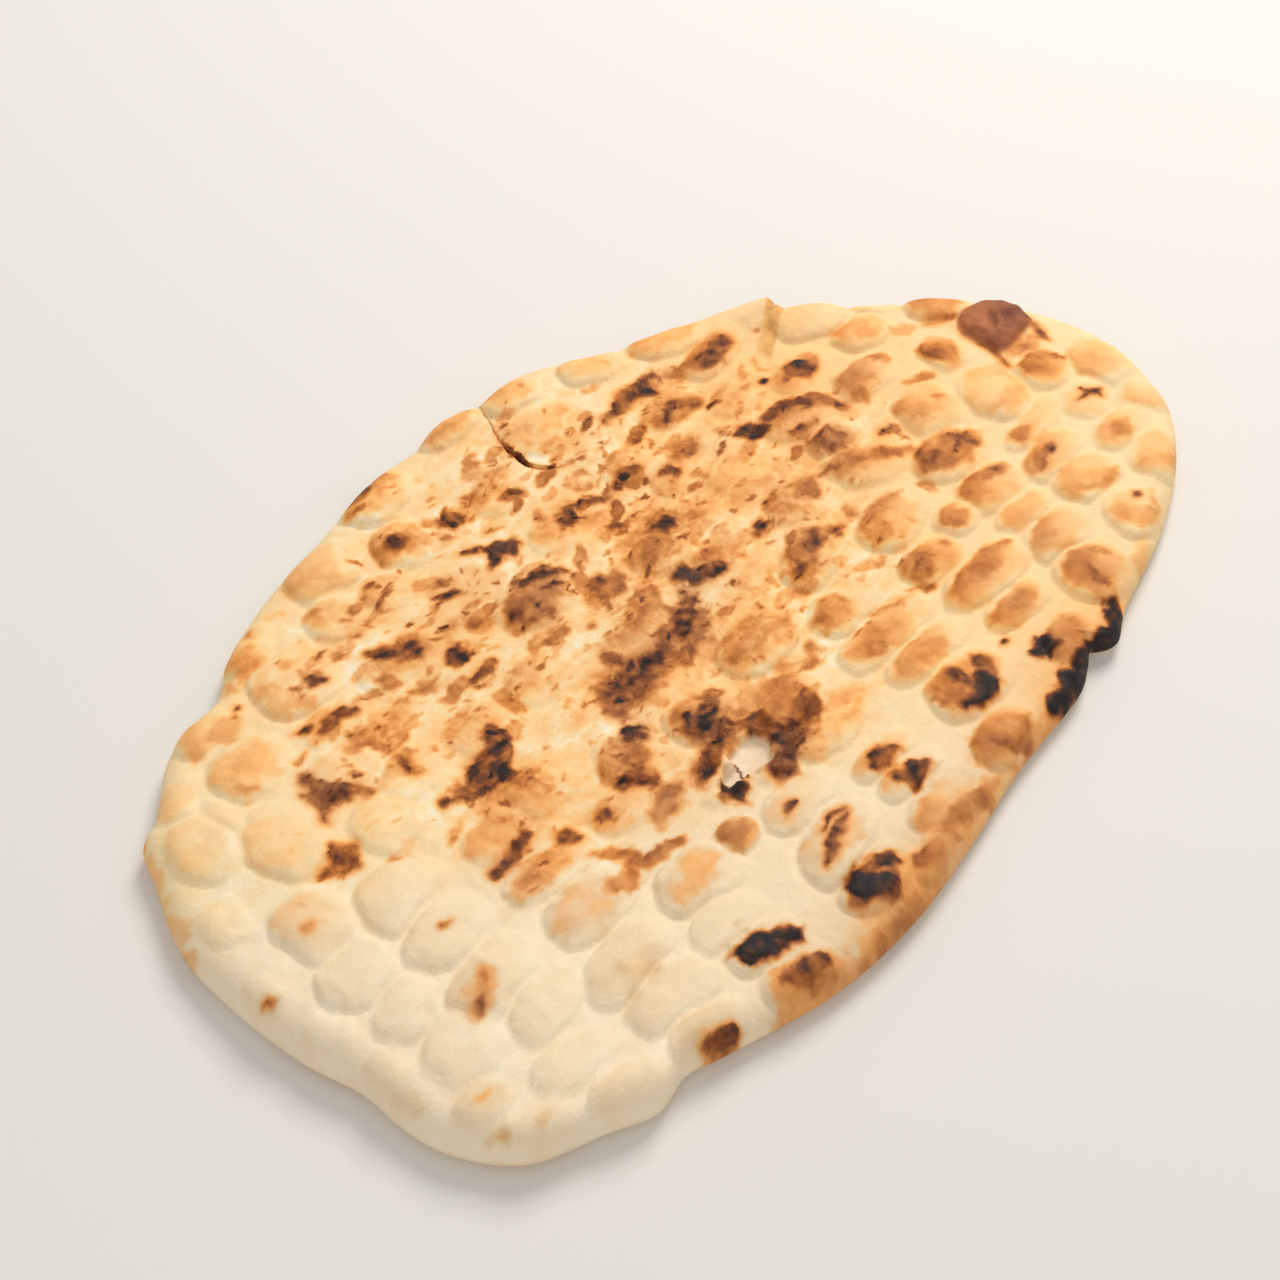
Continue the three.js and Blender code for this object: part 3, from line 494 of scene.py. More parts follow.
SCORCHES = [
    (0.92, 5.5, (-91, -117), (-77, -121)), (0.93, 4, (-51, -100), (-42, -96), (-31, -92)),
    (0.90, 2, (-42, -91), (-36, -88.5), (-30, -90)), (0.93, 7.5, (-9, -85), (-1, -87)),
    (0.96, 7.5, (-8, -96), (0, -99)), (0.95, 9, (-103, 3), (-92, 6), (-84, 9)),
    (0.92, 6, (-88, 8), (-82, 18)), (0.90, 5, (-95, 2), (-90, -2)), (0.92, 4, (-114, 6), (-104, 3)),
    (0.90, 6, (46, 83), (54, 84), (62, 86), (74, 86)), (0.90, 5, (66, 86), (69, 80)),
    (0.92, 4, (-85, -35), (-80, -34)), (0.88, 5, (-123, -26), (-113, -24), (-104, -22)),
    (0.86, 5, (-100, -31), (-94, -30)), (0.92, 5, (-87, 66), (-78, 64)), (0.86, 5, (-79, 58), (-74, 57)),
    (0.90, 8, (-69, 48), (-64, 47)), (0.90, 4, (-71, 35), (-61, 35.5)), (0.88, 5, (-50, 98), (-45, 97)),
    (0.90, 7, (20, 36), (24, 33)), (0.86, 4, (40, 50), (45, 48)), (0.86, 4, (60, 66), (68, 70), (74, 65)),
    (0.90, 3, (76, 60), (79, 59)), (0.84, 7, (92, 74), (100, 77), (105, 77)), (0.97, 6, (76, 42), (81, 36)),
    (0.76, 3, (86, 27), (96, 25)), (0.84, 2.5, (107, 4), (113, 3), (113, 0)),
    (0.88, 4, (35, -18), (39, -15)), (0.84, 4, (59, -14), (62, -14)), (0.82, 4, (104, -20), (112, -18)),
    (0.92, 2.5, (117, -22), (128, -19)), (0.88, 2.5, (123, -16), (126, -26)),
    (0.90, 3.5, (140, -47), (144, -46)), (0.90, 3.5, (-201.5, -6), (-199.5, -8)),
    (0.92, 4, (-122, -112), (-113, -115)), (0.92, 3, (119, -37), (121, -38)),
    (0.86, 3, (142, -83), (145, -83)), (0.74, 2.4, (-148, -28), (-146, -28)),
    (0.90, 3, (98, 53), (101, 53)), (0.90, 2.5, (60, -88), (62, -87)), (0.86, 4, (9, 49), (13, 46)),
    (1.00, 9.5, (66.5, -97), (68.5, -97.5)), (0.84, 3, (104, -90.5), (102.6, -94.4), (103, -99)),
    (0.95, 3.2, (-34, 78), (-26, 72.2)), (0.97, 7.5, (-24.5, 70.5), (-20, 69.2)),
    (0.93, 3.2, (-25, 68.4), (-30.5, 66.2)), (0.92, 3, (-20.5, 67), (-22, 64)),
    (0.94, 6.5, (-0.5, 60.8), (5, 64)), (0.88, 3, (5, 64.4), (12.6, 61.2), (19.5, 57)),
    (0.90, 3.4, (-33.2, 11), (-31.5, 4)), (0.97, 8.5, (9, 13.5), (12.8, 12)),
    (0.95, 5.5, (12, 9.5), (22, 5.6)), (0.90, 3, (14.4, 17.6), (13, 13)),
    (0.90, 5.5, (40.5, 6.6), (47.5, 9)), (0.92, 7.5, (-53.5, -18.5), (-47, -20)),
    (0.86, 3.8, (-125.4, 61.4), (-122, 60.4)), (0.92, 4.6, (-120, 56), (-112.8, 57), (-107, 55.4)),
    (0.94, 7, (-28.4, 92), (-23.6, 90.4)), (0.82, 3, (-44.5, 73), (-52, 74.4)),
    (0.90, 3.6, (-48, 68), (-55.5, 69.8)), (0.91, 3.8, (-30, 51.6), (-22, 49.8), (-16.4, 44.6)),
    (0.80, 2.6, (-27.4, 44.2), (-22, 41.6)), (0.90, 3.2, (-42, 44.6), (-42.4, 39.6), (-39, 37)),
    (0.82, 3.6, (-9.2, 34.4), (-17.6, 31.2)), (0.76, 3, (-16.4, 27), (-7.6, 26)),
    (0.92, 3.8, (25, 58.8), (31.6, 60.4), (37, 58)), (0.95, 3.6, (-110, 74.2), (-105.4, 70.2)),
    (0.93, 3, (-104.8, 74), (-110.6, 70.8)), (0.86, 2.2, (-99.4, 80.2), (-96.2, 79.8)),
    (0.82, 2.2, (-134.2, 84.2), (-131, 84.8)), (0.76, 1.8, (-136, 82.2), (-135, 82.4)),
    (0.99, 1.7, (-37, -51.6), (-39, -55.5), (-40.6, -59.4)),
    # Strokes from here to (174, 21.4) run round the blister's foot: browned crust, partly painted shadow.
    (0.80, 3, (192.4, 0), (190.4, -6), (188.6, -11)),
    (0.76, 3, (170.6, 16.4), (168.4, 5), (168.6, -4), (166.6, -9.6)),
    (0.68, 3.4, (165.6, 26.4), (174, 21.4)), (0.78, 2.4, (-163, -58), (-158, -54)),
    (0.66, 2, (-158, -54), (-151, -49)), (0.50, 2.2, (-177, 1), (-175, 1)),
    (0.92, 5, (-44, 121.5), (-35, 125)), (0.93, 2.2, (169, -39.6), (179, -42.6)),
    (0.92, 2, (173, -37.6), (176, -44.6)), (0.90, 4.4, (-70, -30), (-60, -36)),
    (0.87, 5.4, (-51, -49), (-43, -43.5)), (0.90, 7.5, (-41, -42.8), (-33, -40.2), (-26.4, -42)),
    (0.90, 8.4, (-23.4, -44.6), (-20, -51)), (0.90, 8, (-25.4, -62.6), (-33, -64.6)),
    (0.86, 8.5, (-18, -59.8), (-10, -56.8), (-2.6, -53)), (0.99, 8.5, (-48.8, -59), (-45.4, -59.4)),
    (1.00, 8.5, (99, -104.6), (97.5, -108.5), (88, -113)),
    (1.00, 9.5, (85, -109.8), (76, -111.8), (64, -114.6), (53, -115)),
    (0.86, 6, (83, 38.6), (94, 39.2), (105, 32.4), (110.6, 22)), (0.88, 9.5, (90, 17.2), (95.6, 13.6)),
    (0.93, 7.5, (109.6, 48), (116.4, 45.4)), (0.80, 3, (104, 46), (108, 47)),
    (0.88, 4, (-82.4, -33.4), (-84.2, -35.6)), (0.82, 4, (-98.6, -30), (-94, -33.4)),
    (0.94, 3.6, (-42.6, -77.4), (-38.6, -75.6)), (0.84, 2.2, (-84.4, 78.6), (-82.8, 78)),
    (0.86, 3, (-68, 90), (-65.4, 89.4)), (0.80, 2, (-72.4, 89), (-70.6, 88.4)),
    (0.86, 3.6, (-113, 22), (-111.4, 29)), (0.90, 5.6, (-86.4, 67.4), (-80.6, 64.4), (-75, 60)),
    (0.92, 9.5, (-139, 40), (-137.6, 34)), (0.92, 6, (-137, 35), (-130, 32)),
    (0.86, 4.5, (-140, 33), (-144.6, 29)), (0.86, 4, (-137.4, 47), (-137.8, 42)),
    (0.87, 8.5, (-153, 13.4), (-147.4, 14.4)), (0.80, 3.5, (-161, 13.4), (-154, 13.2)),
    (0.84, 5, (-150.5, 12), (-150, 9)), (0.92, 8.5, (-44, 0.5), (-37, -2.4), (-31, -3)),
    (0.90, 3.4, (-46, -6), (-38, -9), (-31, -8)), (0.91, 6, (-30, -1), (-20, -4.4)),
    (0.88, 6, (-17, -3), (-7, -3.4)), (0.86, 3.2, (-24, -8), (-14, -8.4)),
    (0.91, 5.5, (-9, -1.4), (-3, 1.6), (2.4, 4.2)), (0.92, 10.5, (-36, -33), (-32, -31.6)),
    (0.86, 4, (-28, -34), (-26, -29)), (0.92, 7, (-20.4, -55), (-24.4, -61.4)),
    (1.00, 9.5, (-92, -102.2), (-78, -106.8)), (1.00, 6, (29, -94.5), (34, -96), (43.5, -93.5)),
    (0.97, 7, (37, -92), (43, -91.5)), (0.88, 5, (37, -90), (36.4, -81.5)),
    (0.84, 5, (45, -92), (47.5, -88), (45, -85)), (0.97, 10.5, (-51, -112.6), (-42, -116.5)),
    (0.95, 7, (-44, -111), (-36.5, -112.5)), (0.92, 6, (-56, -113.6), (-51, -115.6)),
    (0.88, 7, (-47, -118), (-42, -120)),
]  # fmt: skip
# For each kind of stroke: how wide its sides fade out, how far noise shifts them, and how much the
# heat inside it comes and goes.
TOAST_EDGE, BROWN_EDGE, SCORCH_EDGE = (9.0, 2.4, 0.16), (5.0, 1.9, 0.18), (3.2, 1.3, 0.22)
TAPER = 0.45  # how much narrower a stroke is at its ends
HALO, HALO_REACH = 0.47, 1.9  # the orange-brown round a scorch
FRECKLES = 400  # small spots strewn over the top
BROWNED = 0.26  # pillows that baked more than this have a browner core and brim
CHARRED = 0.96  # strokes hotter than this come and go less
DULLED = 0.3  # how much duller the DULL_AREAS are


def distance_along(x, y, points):
    """How far each point is from a line through `points`, and how far along it the nearest place is."""
    best, place = np.hypot(x - points[0][0], y - points[0][1]), np.zeros_like(x)
    run, total = 0.0, sum(math.dist(a, b) for a, b in zip(points, points[1:]))
    for (ax, ay), (bx, by) in zip(points, points[1:]):
        dx, dy = bx - ax, by - ay
        t = np.clip(((x - ax) * dx + (y - ay) * dy) / (dx * dx + dy * dy), 0, 1)
        away = np.hypot(x - ax - t * dx, y - ay - t * dy)
        place = np.where(away < best, (run + t * math.hypot(dx, dy)) / total, place)
        best = np.minimum(best, away)
        run += math.hypot(dx, dy)
    return best, place


def distance_to(x, y, points):
    """How far each point is from a line through `points`."""
    return distance_along(x, y, points)[0]


def with_strokes(heat, x, y, strokes, edge, layer, halo=0.0):
    """The heat with strokes added: lumpy, narrower at the ends, and hottest in patches within them."""
    fade, ragged, broken = edge
    x, y = warped(x, y, ragged, 7, layer)
    x, y = warped(x, y, 0.6 * ragged, 2.6, layer + 5)
    breadth = 1.18 + 0.35 * noise(x, y, 6, layer + 11) + 0.3 * noise(x, y, 2.5, layer + 12)
    patches = 1 - broken * np.clip(0.5 + 1.2 * layered(x, y, 4, layer + 13), 0, 1)
    heat = heat.copy()
    for hot, wide, *points in strokes:
        spot = near(x, y, points, wide + fade + HALO_REACH)
        away, place = distance_along(x[spot], y[spot], points)
        half = wide / 2 * (breadth[spot] - TAPER * (2 * place - 1) ** 2)
        blurred = min(fade, 0.45 * wide + 0.9)
        share = ease(0.5 + (half - away) / blurred)
        whole = 0.75 + 0.25 * patches[spot] if hot > CHARRED else patches[spot]
        heat[spot] += np.maximum(0, hot * whole - heat[spot]) * share
        if halo:
            round_it = ease(0.5 + (half + HALO_REACH / 2 - away) / (blurred + HALO_REACH))
            heat[spot] += np.maximum(0, halo - heat[spot]) * round_it * 0.8
    return heat


def freckles(x, y):
    """Small brown spots, thickest in the mottled middle, as the heat of the one that each point is in."""
    rng = np.random.default_rng(5)
    x, y = warped(x, y, 1.6, 4, 18)
    heat = np.zeros_like(x)
    for _ in range(FRECKLES):
        middle = (rng.normal(0, 66), rng.normal(32, 38))
        size, turn = 1.8 + 6 * rng.random() ** 3, rng.normal(10, 28)
        hot = 0.40 + 0.28 * rng.random() ** 2
        spot = near(x, y, [middle], 1.6 * size)
        reach = np.hypot(*along_and_across(x[spot], y[spot], *middle, 2.1 * size, 0.9 * size, turn))
        rim = 0.07 * np.exp(-(((reach - 0.75) / 0.25) ** 2))
        heat[spot] = np.maximum(heat[spot], (hot + rim) * ease((1.22 - reach) / 0.6))
    return heat


def mottle_of(x, y):
    """1 in the flat, mottled middle, and 0 at the pale ends."""
    along, across = along_and_across(x, y, *MOTTLED)
    return 1 - ease((np.hypot(along, across) + 0.2 * noise(x, y, 25, 31) - 0.7) / 0.45)


def pillow_heat(heat, x, y):
    """Each pillow bakes most at its -X end, and its sides fade out into the cream grooves."""
    rng = np.random.default_rng(8)
    x, y = warped(*warped(x, y, 2.0, 9, 14), 0.8, 3.5, 20)
    mixed = layered(x * 0.8, y, 6, 16)
    made = heat.copy()
    for _, bake, spot, reach, along, across in pillows_near(x, y):
        side = np.clip(0.6 * across - 0.8 * along, -1, 1)
        core = np.exp(-(((along + 0.35) / 0.4) ** 2) - ((across - 0.05) / 0.5) ** 2)
        toasted = bake * (0.86 + 0.36 * side + 0.26 * mixed[spot]) + 0.7 * max(0, bake - BROWNED) * core
        brim = np.exp(-(((reach - rng.uniform(0.7, 0.85)) / 0.11) ** 2))
        brim = brim * ease((side - rng.uniform(0, 0.5)) / 0.4)
        toasted = toasted + rng.uniform(0, 0.7) * max(0, bake - BROWNED) * brim
        share = ease((1.02 - reach + 0.1 * mixed[spot]) / (0.46 - 0.24 * side))
        made[spot] += np.maximum(0, toasted - made[spot]) * share
    return heat + (made - heat) * (1 - 0.85 * groove_share(x, y))


def heat_of(x, y):
    """How far the top has baked at each point."""
    mottle = mottle_of(x, y)
    heat = BASE_HEAT - 0.05 * ease((-x - 0.4 * y - 95) / 60)
    heat = heat + hills(x, y, WARM_AREAS)
    heat = heat + mottle * (0.15 * layered(x * 0.55, y, 13, 12) + 0.07 * layered(x * 0.6, y, 4.5, 24))
    heat = pillow_heat(heat, x, y)
    heat = with_strokes(heat, x, y, TOASTS, TOAST_EDGE, 40)
    pale = veins(*warped(x * 0.55, y, 3, 12, 26), 15, 27)
    heat = heat - mottle * pale * 0.12 * ease(heat / 0.3)
    heat = with_strokes(heat, x, y, BROWNS, BROWN_EDGE, 60)
    heat = np.maximum(heat, (0.25 + 0.75 * mottle) * freckles(x, y))
    edge = (1.03 - blister_reach(*warped(x, y, 0.6, 7, 17))) / 0.10
    # Seared skin of the blister, darker in its folds: painted shade in the creases.
    seared = 0.72 + 0.16 * layered(x, y, 7, 19) + 0.05 * ease((x - 172) / 14) + 0.2 * blister_folds(x, y)
    heat = heat + np.maximum(0, seared - heat) * ease(edge)
    return with_strokes(heat, x, y, SCORCHES, SCORCH_EDGE, 80, HALO)


def dullness(x, y, heat):
    """1 where the crust looks dull: at the thick end's lower corner and in cream grooves, partly painted
    shade in both, and in scorches.
    """
    # Partly painted shade: the corner that faces away from the key lamp is greyed.
    corner = 1.1 * ease((-0.6 * x - 1.1 * y - 58) / 85 + 0.1 * noise(x, y, 30, 34))
    corner = corner * (1 - 0.9 * ease((heat - 0.22) / 0.18))
    # Partly painted shade: cream places, such as the grooves, are greyed.
    cream = 0.22 * (1 - ease(heat / 0.26))
    scorched = 0.25 * ease((heat - 0.86) / 0.06) + 0.5 * ease((heat - 0.94) / 0.04)
    scorched = scorched + hills(x, y, [(*area, DULLED) for area in DULL_AREAS])
    seared = 0.35 * ease((1.05 - blister_reach(x, y)) / 0.1)
    mixed = 0.10 + 0.20 * layered(x, y, 14, 35)
    return np.clip(corner + cream + scorched + seared + mixed, 0, 1)


# ---- Mesh ----------------------------------------------------------------------------------------

RINGS = 165  # rings of points from the middle of the top to its edge
RIM_RINGS = 12  # the last of them, closer together on the round of the edge
SIDES = 6  # points that each ring has more than the one inside it
UNDERSIDE_RINGS = 44
UNDERSIDE_SPACING = 1.25  # above 1, the rings lie closer together near the edge
FAR_INSIDE = 99.0  # stands for the inset of a middle point, which is past all rounding


def smooth_outline(steps=40):
    """The edge as a closed curve through OUTLINE, as points with the length along it, scaled to size."""

    def curve(points):
        """A smooth closed curve through all the points."""
        made = []
        n = len(points)
        for i in range(n):
            p0, p1, p2, p3 = (points[(i + k - 1) % n] for k in range(4))
            d0, d1, d2 = (math.sqrt(math.dist(a, b)) for a, b in ((p0, p1), (p1, p2), (p2, p3)))
            t1 = ((p1 - p0) / d0 - (p2 - p0) / (d0 + d1) + (p2 - p1) / d1) * d1
            t2 = ((p2 - p1) / d1 - (p3 - p1) / (d1 + d2) + (p3 - p2) / d2) * d1
            for t in np.arange(steps) / steps:
                a, b = 2 * p1 - 2 * p2 + t1 + t2, -3 * p1 + 3 * p2 - 2 * t1 - t2
                made.append(((a * t + b) * t + t1) * t + p1)
        return np.array(made)

    points = np.array(OUTLINE, float)
    first = curve(points)
    lowest, highest = first.min(0), first.max(0)
    points = (points - (lowest + highest) / 2) * np.array([LENGTH, WIDTH]) / (highest - lowest)
    edge = curve(points)
    closed = np.vstack([edge, edge[:1]])
    run = np.concatenate([[0], np.cumsum(np.hypot(*np.diff(closed, axis=0).T))])
    return closed, run


EDGE, EDGE_RUN = smooth_outline()


def ring_plan(count, share):
    """`count` points at `share` of the way out, and how far each is from the edge."""
    run = np.arange(count) / count * EDGE_RUN[-1]
    edge = np.stack([np.interp(run, EDGE_RUN, EDGE[:, k]) for k in (0, 1)], 1)
    turn = np.arctan2(edge[:, 1] / WIDTH, edge[:, 0] / LENGTH)
    oval = np.stack([LENGTH / 2 * np.cos(turn), WIDTH / 2 * np.sin(turn)], 1)
    blend = share**EVENING_POWER
    inside = (oval * (1 - blend) + edge * blend) * share
    return inside, np.hypot(*(edge - inside).T)


def top_shares():
    """Shares of the way out: even steps, then the finer steps of the round edge."""
    round_share = 2 * RIM_ROUND / math.sqrt(LENGTH * WIDTH)
    even = (np.arange(RINGS - RIM_RINGS) + 1) / (RINGS - RIM_RINGS) * (1 - round_share)
    rim = 1 - round_share * (1 - np.sin(np.radians(90 * np.arange(1, RIM_RINGS + 1) / RIM_RINGS)))
    return [*even, *rim]


def underside_rings():
    """(count, share) of each ring, from just under the edge to the middle."""
    made = []
    for k in range(1, UNDERSIDE_RINGS):
        share = 1 - (k / UNDERSIDE_RINGS) ** UNDERSIDE_SPACING
        thinning = 1 - 0.62 * min(1, k / 8)
        made.append((max(6, round(SIDES * RINGS * share * thinning)), share))
    return made


def stitch(outer, inner, triangles):
    """Triangles between two rings that run the same way round, `inner` on the left of `outer`."""
    a = b = 0
    while a < len(outer) or b < len(inner):
        if (a + 1) * len(inner) <= (b + 1) * len(outer):
            a += 1
            triangles.append((outer[(a - 1) % len(outer)], outer[a % len(outer)], inner[b % len(inner)]))
        else:
            b += 1
            if len(inner) > 1:
                triangles.append((outer[a % len(outer)], inner[b % len(inner)], inner[(b - 1) % len(inner)]))


def bread_surface():
    """The whole bread as one closed surface: the rings of the top, then those of the underside."""
    plans, insets, on_top, triangles = [], [], [], []
    total = 0

    def add_points(plan, inset, top):
        """Add the points, and return their numbers."""
        nonlocal total
        plans.append(plan)
        insets.append(inset)
        on_top.append(np.full(len(plan), top))
        total += len(plan)
        return list(range(total - len(plan), total))

    def add_ring(count, share, top):
        return add_points(*ring_plan(count, share), top)

    def add_middle(top):
        """The single point in the middle of the top or of the underside."""
        return add_points(np.zeros((1, 2)), np.full(1, FAR_INSIDE), top)

    inner = add_middle(True)
    for i, share in enumerate(top_shares()):
        outer = add_ring(SIDES * (i + 1), share, True)
        stitch(outer, inner, triangles)
        inner = outer
    for count, share in underside_rings():
        following = add_ring(count, share, False)
        stitch(inner[::-1], following[::-1], triangles)
        inner = following
    stitch(inner[::-1], add_middle(False), triangles)

    plan, inset, top = np.concatenate(plans), np.concatenate(insets), np.concatenate(on_top)
    x, y = plan.T
    lift = flap_curl(x, y)
    small = relief(x, y, heat_of(x, y))
    upper = CRUMB_THICKNESS + hills(x, y, SWELLINGS) + lift
    lower = 0.5 + 0.5 * layered(x, y, 16, 50)
    rim = RIM_HEIGHT + lift
    z_top = rim + (upper - rim) * edge_share(inset, RIM_ROUND) + small * edge_share(inset, RELIEF_ROUND)
    z_under = rim + (np.clip(lower, 0, 2) + lift * 0.9 - rim) * edge_share(inset, UNDERSIDE_ROUND)
    z = np.where(top, z_top, z_under)
    return np.stack([x, y, z], 1), triangles


def mesh_object(name, points, faces):
    """A new object in the scene, from points in millimetres."""
    mesh = bpy.data.meshes.new(name)
    mesh.from_pydata([Vector(p) * MM for p in points], [], faces)
    made = bpy.data.objects.new(name, mesh)
    bpy.context.scene.collection.objects.link(made)
    return made


def tear_cutter(name, line, jag, layer):
    """A tear as a closed sliver that tapers along its centre line, with ragged sides."""
    line = np.array(line, float)
    run = np.concatenate([[0], np.cumsum(np.hypot(*np.diff(line[:, :2], axis=0).T))])
    steps = np.linspace(0, run[-1], int(run[-1] / TEAR_STEP))
    x, y, width = (np.interp(steps, run, line[:, k]) for k in range(3))
    dx, dy = np.gradient(x), np.gradient(y)
    length = np.hypot(dx, dy)
    across = np.stack([-dy / length, dx / length], 1)
    centre = np.stack([x, y], 1) + across * (jag * noise(steps, steps * 0, 3.5, layer))[:, None]

    def side(sign, side_layer):
        """One ragged side of the tear."""
        half = width / 2 + 0.2 * noise(steps, steps * 0, 1.7, side_layer)
        return centre + across * half[:, None] * sign

    sides = [side(1, layer + 1), side(-1, layer + 2)]
    sides[0][-1] = sides[1][-1] = centre[-1]
    n = len(steps)
    points = [(*p, z) for z in (TEAR_FLOOR, TEAR_TOP) for edge in sides for p in edge]
    faces = []
    for i in range(n - 1):
        faces += [(i, i + 1, n + i + 1, n + i), (2 * n + i, 3 * n + i, 3 * n + i + 1, 2 * n + i + 1)]
        faces += [(i, 2 * n + i, 2 * n + i + 1, i + 1), (n + i, n + i + 1, 3 * n + i + 1, 3 * n + i)]
    faces += [(0, n, 3 * n, 2 * n), (n - 1, 3 * n - 1, 4 * n - 1, 2 * n - 1)]
    return mesh_object(name, points, faces)


def cut(obj, cutter):
    """Take the cutter's shape out of the object, and remove the cutter."""
    modifier = obj.modifiers.new("tear", "BOOLEAN")
    modifier.operation, modifier.solver, modifier.object = "DIFFERENCE", "MANIFOLD", cutter
    bpy.context.view_layer.update()
    cut_mesh = bpy.data.meshes.new_from_object(obj.evaluated_get(bpy.context.evaluated_depsgraph_get()))
    obj.modifiers.clear()
    obj.data = cut_mesh
    bpy.data.objects.remove(cutter)


def of_each_point(mesh, what):
    """The "co" or the "normal" of each point of the mesh, as its X, Y and Z in three rows."""
    values = np.zeros(len(mesh.vertices) * 3)
    mesh.vertices.foreach_get(what, values)
    return values.reshape(-1, 3).T


def make_bread():
    """The bread with its tears, and what the crust material needs to know about each point of it."""
    points, triangles = bread_surface()
    bread = mesh_object("taftoon_bread", points, triangles)
    cut(bread, tear_cutter("crack_cutter", CRACK, 0.5, 70))
    cut(bread, tear_cutter("flap_cutter", FLAP_TEAR, 0.3, 75))
    mesh = bread.data
    mesh.name = "taftoon_bread"
    x, y, z = of_each_point(mesh, "co") / MM
    up = of_each_point(mesh, "normal")[2]
    heat = heat_of(x, y)
    depth = top_height(x, y, heat) - z
    under = ease((-up - 0.25) / 0.3) * (z < 6)
    # Painted shade: brown inside the crack, where its narrow gap lies in shade.
    crack_shade = in_tear(x, y, depth, CRACK) * ease((CRACK_PALE - y) / CRACK_FADE)
    heat = np.maximum(heat, CRACK_SHADE_HEAT * crack_shade * (1 - under))
    attributes = {
        "baked": heat * (1 - under) + under * underside_heat(x, y),
        "mottle": mottle_of(x, y) * (1 - under),
        "dull": dullness(x, y, heat) * (1 - under) + 0.5 * under,
        "smooth": ease((1.1 - blister_reach(x, y)) / 0.2) * (1 - under),
        "crumb": ease((0.98 - burst_reach(x, y)) / 0.14) * (1 - under) * (1 - ease((heat - 0.72) / 0.12)),
        "torn": np.maximum(beside_flap(x, y), in_tear(x, y, depth, FLAP_TEAR)),
    }
    for name, values in attributes.items():
        attribute = mesh.attributes.new(name, "FLOAT", "POINT")
        attribute.data.foreach_set("value", np.asarray(values, np.float32))
    mesh.shade_smooth()
    return bread


def beside_flap(x, y):
    """1 on the torn face that slopes down from the flap's edge."""
    side = flap_side(x, y) + 0.9 * noise(x, y, 2.6, 23)
    share = ease((0.8 - side) / 1.8) * ease((TORN_WIDTH + side + 0.4) / 1.8)
    return share * ease((x - TORN_START) / 4) * (x < TORN_END)


def in_tear(x, y, depth, line):
    """1 on the torn faces inside a tear, by how deep the points lie under the crust."""
    away = distance_to(x, y, [p[:2] for p in line])
    return ease((2.2 - away) / 0.9) * ease((depth + 0.2) / 0.5)


def underside_heat(x, y):
    """The face that baked against the oven: pale, with freckled brown patches."""
    return 0.2 + 0.2 * layered(x, y, 22, 51) + 0.16 * np.maximum(0, layered(x, y, 6, 53))


# ---- Material ------------------------------------------------------------------------------------

# The crust's colour by heat: where it baked golden, and where it looks dull, in places a painted shade.
CRUST_COLOURS = [
    (0.00, (248, 232, 200), (245, 235, 210)), (0.08, (249, 219, 165), (243, 223, 189)),
    (0.20, (249, 203, 138), (237, 212, 175)), (0.30, (249, 188, 116), (227, 199, 160)),
    (0.40, (240, 169, 95), (212, 181, 141)), (0.49, (225, 148, 73), (195, 160, 122)),
    (0.57, (206, 128, 56), (178, 137, 101)), (0.65, (184, 108, 43), (157, 116, 86)),
    (0.73, (160, 89, 32), (133, 96, 73)), (0.81, (136, 72, 26), (112, 75, 56)),
    (0.89, (108, 54, 22), (84, 55, 44)), (0.96, (74, 38, 20), (58, 42, 38)),
    (1.00, (42, 28, 24), (34, 30, 31)),
]  # fmt: skip
PATCH_SCALE, SPECK_SCALE, BUBBLE_SCALE = 92.0, 240.0, 230.0  # the higher, the smaller


def linear(colour):
    """A colour of 0 to 255, as on a screen, in the linear values that a shader takes."""
    return [(c / 255 / 12.92 if c <= 10 else ((c / 255 + 0.055) / 1.055) ** 2.4) for c in colour] + [1.0]


